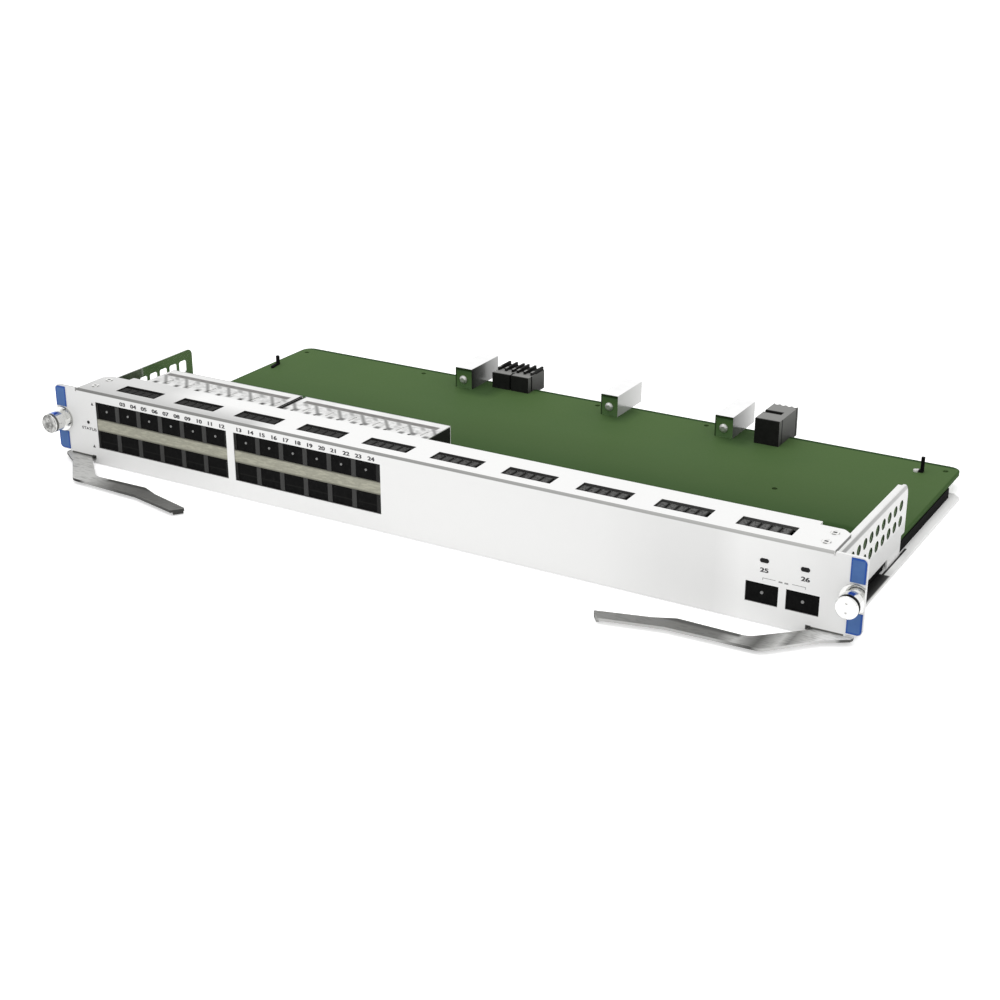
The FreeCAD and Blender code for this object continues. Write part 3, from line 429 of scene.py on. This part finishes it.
def right_wall_steel():
    """Bright sheet steel, drawn: near white, with a painted grey shadow under its lip.

    The painted shadow is darkest at the front and fades to the rear. The foot of the wall is a little
    greyer, and the cut edges of the holes have painted shade, dark and green from the board.
    """
    material, tree, bsdf = start("bright_sheet_steel_right", Metallic=0.1, Roughness=0.4,
                                 Specular_IOR_Level=0.3)
    base = mottle(tree, "#F0F0EF", "#EAEAE9", 12)
    outer = facing(tree, "X")
    # painted shadow under the lip, and painted shade in the holes' cut edges with the board's green in it
    lip_shadow_tone = gradient(tree, "Y", (10, "#8E8E8D"), (110, "#BEBEBD"))
    lip_shadow = product(tree, outer, within(tree, 0.5, z=(33.3, 36.0)))
    low = product(tree, outer, within(tree, 1.5, z=(5, 17)))
    hole_edge_shade = within(tree, 0.04, x=(WALL_X[0] + 0.04, WALL_X[1] - 0.04), y=(20, 96), z=(15, 31))
    seat = within(tree, 0.05, x=(WALL_X[0], 222), y=(1.4, 2.8))
    tree.links.new(over(tree, base, (low, "#D6D6D5"), (lip_shadow, lip_shadow_tone), (hole_edge_shade, "#37452F"),
                        (seat, "#D2D2D1")), bsdf.inputs["Base Color"])
    relief(tree, bsdf, 0.9, 0.01, (1, 0.1, 1))
    return material


def left_wall_steel():
    """Polished sheet steel: its inner face is a mirror of the green board, darker in front."""
    material, tree, bsdf = start("polished_sheet_steel_left", Metallic=1.0, Roughness=0.12)
    base = mottle(tree, "#E4E4E3", "#D8D8D7", 15)
    front = within(tree, 5.0, y=(-5, 42))
    tree.links.new(over(tree, base, (front, "#B8B8B7")), bsdf.inputs["Base Color"])
    relief(tree, bsdf, 1.2, 0.004, (1, 0.1, 1))
    return material


def blue_enamel():
    """Blue stoved paint on the ear pads, a deeper blue round the rim."""
    material, tree, bsdf = start("blue_enamel", Roughness=0.42, Specular_IOR_Level=0.15)
    base = mottle(tree, "#4C6EA5", "#4869A1", 4)
    inner = within(tree, 0.35, wide=(214.5, 219.9), z=(5.8, 38.6))
    tree.links.new(over(tree, linear("#264E9E"), (inner, base)), bsdf.inputs["Base Color"])
    relief(tree, bsdf, 0.5, 0.01)
    return material


def lever_steel(name, tones, edges, *shades):
    """Blanked steel lever, barrel plated, with its light painted on: pale by the pivot, with painted dark
    and bright stretches where the bent arm turns through the light, and painted light and shade at its cut
    edges.

    The tones and edges are stops along x, and each shade is a set of ranges with its colour.
    """
    material, tree, bsdf = start(name, Metallic=0.2, Roughness=0.45, Specular_IOR_Level=0.2)
    drawn = add(tree, "ShaderNodeMath", {0: patches(tree, 0.9, 0.5, 0.66, (0.2, 1, 1)), 1: 0.35},
                operation="MULTIPLY").outputs[0]
    base = over(tree, gradient(tree, "X", *tones), (drawn, "#4A4A48"))
    for ranges, code in shades:
        base = over(tree, base, (within(tree, 0.7, **ranges), code))
    edge = within(tree, 0.08, z=(-1, 2.85))
    tree.links.new(over(tree, base, (edge, gradient(tree, "X", *edges))), bsdf.inputs["Base Color"])
    relief(tree, bsdf, 0.9, 0.02, (0.3, 1, 1))
    return material


def polished_casting(name, left, dark, pale):
    """Zinc casting, polished and chromed, with its reflections painted on: the front has a painted
    reflection of the board, with a darker painted border above and at its left, the sides have a painted
    reflection that runs from dark in front to pale at the rear, the top is white.

    The left is the x of its left side in mm.
    """
    material, tree, bsdf = start(name, Metallic=0.3, Roughness=0.2, Specular_IOR_Level=0.2)
    # painted reflections on the sides and the front
    side = gradient(tree, "Y", (180, dark), (208, pale))
    front = gradient(tree, "Z", (8.4, "#68865A"), (16.5, "#597547"), (18.4, "#54704A"), (19.2, "#2C3E22"))
    ahead = facing(tree, "Y", -1)
    reflection_border = product(tree, ahead, within(tree, 0.25, x=(left - 1, left + 0.7)))
    tree.links.new(over(tree, mottle(tree, "#FBFBFB", "#F6F6F6", 5), (facing(tree, "X"), side),
                        (facing(tree, "X", -1), side), (ahead, front), (reflection_border, "#34482A")),
                   bsdf.inputs["Base Color"])
    relief(tree, bsdf, 1.5, 0.004)
    return material


def connector_shell(name, top_y, right, slot=None):
    """Glass-filled moulding: near black in front, greyer where the light falls on top and side.

    The pale top and the slot in it are ranges of y, and the right is the x of its right side.
    """
    material, tree, bsdf = start(name, Roughness=0.6, Specular_IOR_Level=0.08)
    up = facing(tree, "Z")
    top = product(tree, up, within(tree, 0.1, y=top_y))
    side = product(tree, facing(tree, "X"), within(tree, 0.1, x=(right - 0.3, right + 0.3)))
    groove = product(tree, side, within(tree, 0.2, y=(top_y[0] + 3.4, top_y[0] + 4.8)))
    rim = product(tree, up, within(tree, 0.3, y=(top_y[0] - 1, top_y[0] + 0.9)))
    side_tone = gradient(tree, "Z", (8, "#3E3E3C"), (21, "#6E6E6C"))
    layers = [(top, "#8A8A88"), (side, side_tone), (groove, "#1C1C1B"), (rim, "#3A3A39")]
    if slot:
        mouth = within(tree, 0.2, y=slot, x=(right - 30, right - 3.4))
        layers.append((product(tree, up, mouth), "#0C0C0B"))
    tree.links.new(over(tree, mottle(tree, "#1A1A19", "#20201F", 3), *layers), bsdf.inputs["Base Color"])
    relief(tree, bsdf, 0.5, 0.02)
    return material


def clip_nylon():
    """Black nylon clip whose round end sits on a pale washer."""
    material, tree, bsdf = start("moulded_nylon_clip", Roughness=0.7, Specular_IOR_Level=0.05)
    washer = within(tree, 0.15, x=(180, 186.4), z=(8, 9.6))
    tree.links.new(over(tree, mottle(tree, "#0F0F0F", "#151515", 3), (washer, "#D4D4D2")),
                   bsdf.inputs["Base Color"])
    relief(tree, bsdf, 0.4, 0.02)
    return material


def tinted_lens():
    """Clear acrylic light guide seen unlit: glossy, nearly black."""
    material, tree, bsdf = start("acrylic_light_guide", Roughness=0.25, Specular_IOR_Level=0.15)
    tree.links.new(mottle(tree, "#0C0C0C", "#121212", 2), bsdf.inputs["Base Color"])
    relief(tree, bsdf, 0.8, 0.005)
    return material


def screen_ink(name, code):
    """Screen-printed ink on the powder coat: matt, with slightly uneven cover."""
    material, tree, bsdf = start(name, Roughness=0.6)
    tree.links.new(mottle(tree, code, paler(code, 14), 0.5), bsdf.inputs["Base Color"])
    relief(tree, bsdf, 0.2, 0.005)
    return material


def dress(material, *nodes):
    """Gives CAD nodes one finish in every slot."""
    for name in nodes:
        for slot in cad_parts[name].material_slots:
            slot.material = material


def lay_mesh(name, mesh, material, body):
    """Adds a finished mesh as a piece that rides on a body."""
    piece = bpy.data.objects.new(name, mesh)
    bpy.context.scene.collection.objects.link(piece)
    mesh.materials.clear()
    mesh.materials.append(material)
    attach(piece, body)
    return piece


def front_text(words, height, x, z):
    """Words on the face plate's front, their middle at (x, z) in mm, as a mesh."""
    curve = bpy.data.curves.new("words", "FONT")
    curve.body = words
    curve.size = height * MM / CAPITAL
    curve.align_x = "CENTER"
    curve.align_y = "CENTER"
    curve.extrude = 0.5 * INK * MM
    curve.offset = FATTEN * height * MM
    holder = bpy.data.objects.new("words", curve)
    bpy.context.scene.collection.objects.link(holder)
    bpy.context.view_layer.update()
    graph = bpy.context.evaluated_depsgraph_get()
    mesh = bpy.data.meshes.new_from_object(holder.evaluated_get(graph))
    bpy.data.objects.remove(holder)
    mesh.transform(Matrix.Translation((x * MM, -INK * MM, z * MM)) @ Matrix.Rotation(math.pi / 2, 4, "X")
                   @ Matrix.Diagonal((WIDEN, 1, 1, 1)))
    return mesh


def printed_twice(words, height, x, z):
    """Words as two meshes with a small step between them, which makes them bold."""
    return [front_text(words, height, x + step, z) for step in BOLD]


def front_outline(corners):
    """Flat printed shape on the face plate's front, corners (x, z) in mm, as a mesh."""
    mesh = bpy.data.meshes.new("mark")
    near = [(x * MM, -INK * MM, z * MM) for x, z in corners]
    far = [(x * MM, 0.0, z * MM) for x, z in corners]
    count = len(corners)
    faces = [tuple(range(count)), tuple(reversed(range(count, 2 * count)))]
    faces += [(k, k + count, (k + 1) % count + count, (k + 1) % count) for k in range(count)]
    mesh.from_pydata(near + far, [], faces)
    return mesh


def joined(name, meshes):
    """One mesh from several, with its normals turned outwards."""
    made = bmesh.new()
    for mesh in meshes:
        made.from_mesh(mesh)
    bmesh.ops.recalc_face_normals(made, faces=made.faces)
    whole = bpy.data.meshes.new(name)
    made.to_mesh(whole)
    made.free()
    return whole


def port_numbers():
    """Plain numbers over the port columns, two to a column, from the second column on."""
    meshes = []
    columns = [first + PORT_PITCH * k + shift for first, shift in zip(PORT_FIRST, (1.0, -0.2))
               for k in range(PORT_N)]
    number = 3
    for centre in columns[1:]:
        for side in (-3.6, 3.6):
            meshes += printed_twice("%02d" % number, NUMBER_HEIGHT, centre + side, 36.3)
            number += 1
    for k, words in enumerate(("25", "26")):
        meshes += printed_twice(words, NUMBER_HEIGHT, UPLINK_FIRST + 0.7 + UPLINK_PITCH * k, 24.8)
    return joined("port_numbers", meshes)


def bar(x0, x1, z0, z1):
    """Flat printed bar on the face plate's front."""
    return front_outline([(x0, z0), (x1, z0), (x1, z1), (x0, z1)])


def front_marks():
    """The status word by the left ear and a small triangle above and below it."""
    meshes = [front_text("STATUS", 1.5, -199.4, 18.8)]
    for x, z in ((-195.9, 33.0), (-197.0, 9.6)):
        meshes.append(front_outline([(x - 0.9, z - 0.8), (x + 0.9, z - 0.8), (x, z + 0.9)]))
    return joined("front_marks", meshes)


def uplink_bracket():
    """Thin printed line that ties the two uplinks, with two short dashes in its middle."""
    z, half = 21.3, 0.12
    meshes = [bar(176.2, 182.0, z - half, z + half), bar(176.2, 176.45, z - 1.0, z - half),
              bar(189.4, 195.4, z - half, z + half), bar(195.15, 195.4, z - 1.0, z - half)]
    meshes += [bar(x, x + 1.7, z - 0.6, z + 0.1) for x in (183.4, 186.0)]
    return joined("uplink_bracket", meshes)


def row_tree(name, *own):
    """New Geometry Nodes tree for a row along x: the tree and its input node.

    Its inputs are how many there are, the x of the first, their pitch, the z and y of their
    middles, and the tree's own sizes.
    """
    tree = bpy.data.node_groups.new(name, "GeometryNodeTree")
    tree.interface.new_socket("Geometry", in_out="OUTPUT", socket_type="NodeSocketGeometry")
    for label in ("Count", "Start", "Pitch", "Height", "Front") + own:
        tree.interface.new_socket(label, in_out="INPUT", socket_type="NodeSocketFloat")
    return tree, add(tree, "NodeGroupInput")


def grown(name, tree, material, body, slot, count, **sizes):
    """Runs a row's tree with its count and its sizes in mm, and lays the result as a plain mesh."""
    values = {label: size * MM for label, size in sizes.items()}
    values["Count"] = float(count)
    holder = bpy.data.objects.new(name + "_seed", bpy.data.meshes.new(name + "_seed"))
    bpy.context.scene.collection.objects.link(holder)
    modifier = holder.modifiers.new("grow", "NODES")
    modifier.node_group = tree
    for item in tree.interface.items_tree:
        if item.in_out == "INPUT":
            modifier[item.identifier] = values[item.name]
    bpy.context.view_layer.update()
    graph = bpy.context.evaluated_depsgraph_get()
    mesh = bpy.data.meshes.new_from_object(holder.evaluated_get(graph))
    bpy.data.objects.remove(holder)
    mesh.name = name
    lay_mesh(name, mesh, material, body)


def end_row(tree, given, mesh, material):
    """Ends a tree with one mesh repeated along x, realized and given its material."""
    begin = add(tree, "ShaderNodeCombineXYZ", {0: given.outputs["Start"], 1: given.outputs["Front"],
                                               2: given.outputs["Height"]}).outputs[0]
    step = add(tree, "ShaderNodeCombineXYZ", {0: given.outputs["Pitch"]}).outputs[0]
    row = add(tree, "GeometryNodeMeshLine", {"Count": given.outputs["Count"], "Start Location": begin,
                                             "Offset": step})
    spread = add(tree, "GeometryNodeInstanceOnPoints", {"Points": row.outputs[0], "Instance": mesh})
    real = add(tree, "GeometryNodeRealizeInstances", {0: spread.outputs[0]})
    painted = add(tree, "GeometryNodeSetMaterial", {"Geometry": real.outputs[0], "Material": material})
    add(tree, "NodeGroupOutput", {0: painted.outputs[0]})


def port_dots(material):
    """Small pale round dots in the middle of the upper plugs and of the uplink plugs."""
    tree, given = row_tree("dot_row", "Radius")
    dot = add(tree, "GeometryNodeMeshCylinder", {"Vertices": 12, "Radius": given.outputs["Radius"],
                                                 "Depth": 0.4 * MM})
    turned = add(tree, "GeometryNodeTransform", {"Geometry": dot.outputs[0],
                                                 "Rotation": (math.pi / 2, 0, 0)})
    end_row(tree, given, turned.outputs[0], material)
    rows = (("left_port_dots", PORT_N, PORT_FIRST[0], PORT_PITCH, 30.1, 0.6),
            ("right_port_dots", PORT_N, PORT_FIRST[1], PORT_PITCH, 30.1, 0.6),
            ("uplink_dots", 2, UPLINK_FIRST, UPLINK_PITCH, 14.2, 0.7))
    for name, count, first, pitch, height, radius in rows:
        grown(name, tree, material, "card", "plug_rubber", count, Start=first, Pitch=pitch,
              Height=height, Front=PLUG_FRONT - 0.15, Radius=radius)


def slot_shade_strips(material):
    """Black strip under the flange behind each slot, a dark piece put where there is only shade, so that no
    light comes through.

    It has a raised edge at its rear, as high as the strip lies below the flange.
    """
    tree, given = row_tree("shade_strip_row", "Width", "Depth", "Rise")
    edge = 1.2
    size = add(tree, "ShaderNodeCombineXYZ", {0: given.outputs["Width"], 1: given.outputs["Depth"],
                                              2: THIN * MM}).outputs[0]
    floor = add(tree, "GeometryNodeMeshCube", {"Size": size})
    rim_size = add(tree, "ShaderNodeCombineXYZ", {0: given.outputs["Width"], 1: edge * MM,
                                                  2: given.outputs["Rise"]}).outputs[0]
    rim = add(tree, "GeometryNodeMeshCube", {"Size": rim_size})
    half = add(tree, "ShaderNodeMath", {0: given.outputs["Depth"], 1: 0.5}, operation="MULTIPLY").outputs[0]
    back = add(tree, "ShaderNodeMath", {0: half, 1: edge / 2 * MM}, operation="SUBTRACT").outputs[0]
    lift = add(tree, "ShaderNodeMath", {0: given.outputs["Rise"], 1: 0.5}, operation="MULTIPLY").outputs[0]
    up = add(tree, "ShaderNodeCombineXYZ", {1: back, 2: lift}).outputs[0]
    raised = add(tree, "GeometryNodeTransform", {"Geometry": rim.outputs[0], "Translation": up})
    both = add(tree, "GeometryNodeJoinGeometry")
    tree.links.new(raised.outputs[0], both.inputs[0])
    tree.links.new(floor.outputs[0], both.inputs[0])
    end_row(tree, given, both.outputs[0], material)
    depth = SLOT_Y[1] - SLOT_Y[0] + 1.4
    drop = 0.85
    grown("slot_shade_strips", tree, material, "card", "plug_rubber", SLOT_N, Start=SLOT_FIRST,
          Pitch=SLOT_PITCH, Height=SHEET_UNDER - drop, Front=SLOT_Y[0] + 0.1 + depth / 2,
          Width=SLOT_W - 0.1, Depth=depth, Rise=drop)


def vent_tongues(material):
    """Spring tongues struck down from the cage tops, seen just under the long vents."""
    tree, given = row_tree("tongue_row", "Width", "Depth")
    size = add(tree, "ShaderNodeCombineXYZ", {0: given.outputs["Width"], 1: given.outputs["Depth"],
                                              2: THIN * MM}).outputs[0]
    tongue = add(tree, "GeometryNodeMeshCube", {"Size": size})
    end_row(tree, given, tongue.outputs[0], material)
    for name, first in zip(("left_vent_tongues", "right_vent_tongues"), PORT_FIRST):
        grown(name, tree, material, "card", "cage_steel", PORT_N, Start=first + 3.8, Pitch=PORT_PITCH,
              Height=CAGE_TOP - 0.64, Front=47.4, Width=3.0, Depth=6.4)


def tongue_nickel():
    """Nickel-plated spring tongues: pale satin, seen only as a soft grey through the vents."""
    material, tree, bsdf = start("nickel_plated_tongue", Metallic=0.2, Roughness=0.5,
                                 Specular_IOR_Level=0.2)
    tree.links.new(mottle(tree, "#F4F4F3", "#E8E8E7", 2), bsdf.inputs["Base Color"])
    relief(tree, bsdf, 0.8, 0.01)
    return material


def return_spring(side, material):
    """The spring of a captive screw, from its CAD shape, laid as a piece of its own on the card in place of
    the CAD node.
    """
    node = side + "_screw_spring"
    piece = lay_mesh(side + "_return_spring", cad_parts[node].data.copy(), material, "card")
    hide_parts(node)
    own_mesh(piece)


def seen(tree):
    """1 where the camera, or a mirror or clear thing in its view, looks at the surroundings."""
    path = add(tree, "ShaderNodeLightPath").outputs
    either = add(tree, "ShaderNodeMath", {0: path["Is Camera Ray"], 1: path["Is Glossy Ray"]},
                 operation="MAXIMUM").outputs[0]
    return add(tree, "ShaderNodeMath", {0: either, 1: path["Is Transmission Ray"]},
               operation="MAXIMUM").outputs[0]


def studio():
    """Pale floor, even white surroundings and two large soft lamps."""
    world = bpy.data.worlds.new("studio")
    bpy.context.scene.world = world
    world.use_nodes = True
    tree = world.node_tree
    tree.nodes.clear()
    level = add(tree, "ShaderNodeMapRange", {"Value": seen(tree), "To Min": 0.8, "To Max": 1.0}).outputs[0]
    light = add(tree, "ShaderNodeBackground", {"Color": (1, 1, 1, 1), "Strength": level})
    add(tree, "ShaderNodeOutputWorld", {"Surface": light.outputs[0]})
    for name, place, aim, size, power in (("overhead", (-0.2, -0.1, 1.6), (0, 0.1, 0), 1.6, 9.0),
                                          ("front", (0.1, -1.8, 0.7), (0, 0, 0), 1.4, 3.0)):
        lamp = bpy.data.lights.new(name, "AREA")
        lamp.size = size
        lamp.energy = power
        holder = bpy.data.objects.new(name, lamp)
        bpy.context.scene.collection.objects.link(holder)
        holder.location = place
        holder.rotation_mode = "QUATERNION"
        holder.rotation_quaternion = (Vector(aim) - Vector(place)).to_track_quat("-Z", "Y")
    mesh = bpy.data.meshes.new("floor")
    wide, low = 6.0, -0.3 * MM
    mesh.from_pydata([(-wide, -wide, low), (wide, -wide, low), (wide, wide, low), (-wide, wide, low)],
                     [], [(0, 1, 2, 3)])
    floor = bpy.data.objects.new("floor", mesh)
    bpy.context.scene.collection.objects.link(floor)
    material = bpy.data.materials.new("pale_floor")
    material.use_nodes = True
    tree = material.node_tree
    tree.nodes.clear()
    matt = add(tree, "ShaderNodeBsdfDiffuse", {"Color": linear("#F4F4F4")})
    glow = add(tree, "ShaderNodeEmission", {"Color": (1, 1, 1, 1), "Strength": 0.45})
    lit = add(tree, "ShaderNodeAddShader", {0: matt.outputs[0], 1: glow.outputs[0]})
    mixed = add(tree, "ShaderNodeMixShader", {0: seen(tree), 1: matt.outputs[0], 2: lit.outputs[0]})
    add(tree, "ShaderNodeOutputMaterial", {"Surface": mixed.outputs[0]})
    mesh.materials.append(material)


def camera():
    """The photograph's view: 30 degrees to the right of the face plate and 22.5 above it.

    The numbers are the solved camera: they put the plate's corners where the photograph has them.
    """
    azimuth, elevation = math.radians(30.17), math.radians(22.49)
    ahead = Vector((-math.sin(azimuth) * math.cos(elevation), math.cos(azimuth) * math.cos(elevation),
                    -math.sin(elevation)))
    lens = bpy.data.cameras.new("camera")
    lens.sensor_width = 36.0
    lens.lens = 61.77
    lens.clip_start = 0.01
    holder = bpy.data.objects.new("camera", lens)
    bpy.context.scene.collection.objects.link(holder)
    holder.location = (0.40926, -0.62036, 0.32718)
    holder.rotation_mode = "QUATERNION"
    holder.rotation_quaternion = ahead.to_track_quat("-Z", "Y")
    bpy.context.scene.camera = holder
    bpy.context.scene.view_settings.view_transform = "Standard"


# painted light and shade of the levers along x in mm: on the flat of the arm, and on its cut edges
RIGHT_ARM = ((110.5, "#3A3A39"), (113.5, "#868684"), (140, "#7A7A78"), (149, "#72726F"), (168, "#6E6E6C"),
             (175, "#B8B8B6"), (179, "#929290"), (184, "#666664"), (188, "#9A9A98"), (192, "#C6C6C4"),
             (195.5, "#8A8A88"), (200, "#C6C6C4"), (206, "#ECECEB"))
RIGHT_EDGE = ((110.5, "#2E2E2D"), (114, "#4A4A48"), (118, "#B8B8B6"), (168, "#B0B0AE"), (178, "#6A6A68"),
              (183, "#4A4A48"), (188, "#C0C0BE"), (200, "#D8D8D6"), (211, "#C0C0BE"), (213, "#5A5A58"))
LEFT_ARM = ((-206, "#C2C2C0"), (-180, "#C6C6C4"), (-170, "#9A9A98"), (-162, "#727270"),
            (-144, "#666664"), (-124, "#727270"), (-112, "#7A7A78"))
LEFT_EDGE = ((-217, "#2A2A29"), (-202, "#2E2E2D"), (-199, "#9A9A98"), (-191, "#7A7A78"),
             (-188, "#1E1E1D"), (-183, "#2A2A29"), (-179, "#A4A4A2"), (-166, "#7A7A78"),
             (-156, "#4A4A48"), (-112, "#3A3A38"))

dress(powder_coated_steel(), "face_plate")
dress(powder_coated_tray(), "tray")
dress(nickel_plated_cage(), "left_port_cage", "right_port_cage", "uplink_cages")
dress(solder_mask_laminate(), "main_board")
dress(woven_gasket(), "left_port_band", "right_port_band")
dress(plug_rubber(), "lower_port_plugs", "upper_port_plugs", "uplink_plugs")
dress(moulded_plain("moulded_nylon", "#0A0A0A", 0.8), "left_board_rail", "right_board_rail",
      "left_port_connectors", "right_port_connectors", "uplink_connectors")
dress(clip_nylon(), "left_board_clip", "right_board_clip")
dress(plated_spring_fingers(), "contact_fingers")
dress(turned_bright("zinc_plated_steel", "#C8C8C6", "#B8B8B6", 0.3), "standoffs", "left_lever_pin",
      "right_lever_pin", "left_screw_ring", "right_screw_ring", "guide_block_screws")
# painted shade: the heads are grey round their pale tops and dark in the recess in the middle
screw_rings = [({"wide": (198.2, 201.8), "y": (y - 1.7, y + 1.7)}, "#F0F0EE") for y in FLANGE_SCREW_Y]
screw_recess_shades = [({"wide": (199.1, 200.9), "y": (y - 0.7, y + 0.7)}, "#1E1E1D") for y in FLANGE_SCREW_Y]
dress(turned_bright("zinc_plated_flange_screw", "#9A9A98", "#8E8E8C", 0.4, *screw_rings,
                    *screw_recess_shades, shine=0.3), "flange_screws")
# painted shade near the plate and in the ferrule's groove
dress(turned_bright("turned_ferrule", "#E4E4E2", "#DADAD8", 0.12,
                    ({"y": (-1.05, -0.6)}, "#8A8A88"), ({"y": (-5.4, -4.4)}, "#6A6A68"), shine=0.9),
      "left_screw_ferrule", "right_screw_ferrule")
# a painted reflection of the blue ear pad on the knob, and painted shade that widens its groove
dress(turned_bright("turned_stainless_right", "#F4F4F2", "#ECECEA", 0.12,
                    ({"y": (-8.2, -5.8), "x": (215.8, 218.7), "z": (24.3, 29.5)}, "#4C74CC"),
                    ({"y": (KNOB_GROOVE[0] - 0.2, KNOB_GROOVE[1] + 0.8)}, "#2E2E2D"),
                    ({"y": (-11.1, -10.75), "wide": (216.0, 217.6)}, "#C8C8C6"), shine=0.8),
      "right_captive_screw")
# painted shade greying the end of the knob, a painted reflection of the blue ear pad, and painted shade in
# its groove
dress(turned_bright("turned_stainless_left", "#ECECEA", "#DEDEDC", 0.14,
                    ({"y": (-11.5, -10.9)}, ("#6A6A68", "#B8B8B6")),
                    ({"y": (-8.8, -5.4), "x": (-220.0, -214.6), "z": (24.6, 29.5)}, "#4C74CC"),
                    ({"y": (KNOB_GROOVE[0] - 0.1, KNOB_GROOVE[1] + 0.2)}, "#8E8E8C"), shine=0.8),
      "left_captive_screw")
spring_wire = turned_bright("drawn_spring_wire", "#B0B0AE", "#9C9C9A", 0.3)
return_spring("left", spring_wire)
return_spring("right", spring_wire)
dress(right_wall_steel(), "right_side_wall")
dress(left_wall_steel(), "left_side_wall")
dress(blue_enamel(), "left_ear_pads", "right_ear_pads")
dress(lever_steel("barrel_plated_right", RIGHT_ARM, RIGHT_EDGE,
                  ({"x": (141, 176), "y": (-22.0, -18)}, "#4E4E4C")), "right_ejector_lever")
dress(lever_steel("barrel_plated_left", LEFT_ARM, LEFT_EDGE,
                  ({"x": (-170, -141), "y": (-21.6, -18)}, "#4A4A48")), "left_ejector_lever")
for side, left, dark, pale in (("left", -86.0, "#222221", "#B0B0AF"),
                               ("middle", 7.9, "#BCBCBB", "#D6D6D5"),
                               ("right", 76.0, "#727271", "#D6D6D5")):
    dress(polished_casting("chromed_zinc_" + side, left, dark, pale), side + "_guide_block")
dress(connector_shell("glass_filled_twin", TWIN_SHELF, -43.6), "twin_rear_connector")
dress(connector_shell("glass_filled_tall", TALL_TOP, 112.0, TALL_SLOT), "tall_rear_connector")
dress(tinted_lens(), "light_lenses", "status_lens")

lay_mesh("port_numbers", port_numbers(), screen_ink("grey_screen_ink", "#3E3E40"), "card")
lay_mesh("front_marks", front_marks(), screen_ink("dark_screen_ink", "#2E2E30"), "card")
lay_mesh("uplink_bracket", uplink_bracket(), screen_ink("pale_screen_ink", "#8A8A8A"), "card")
port_dots(moulded_plain("pale_plug_dot", "#8A8A89", 0.5))
slot_shade_strips(moulded_plain("black_shade_strip", "#080808", 0.8))
vent_tongues(tongue_nickel())

studio()
camera()
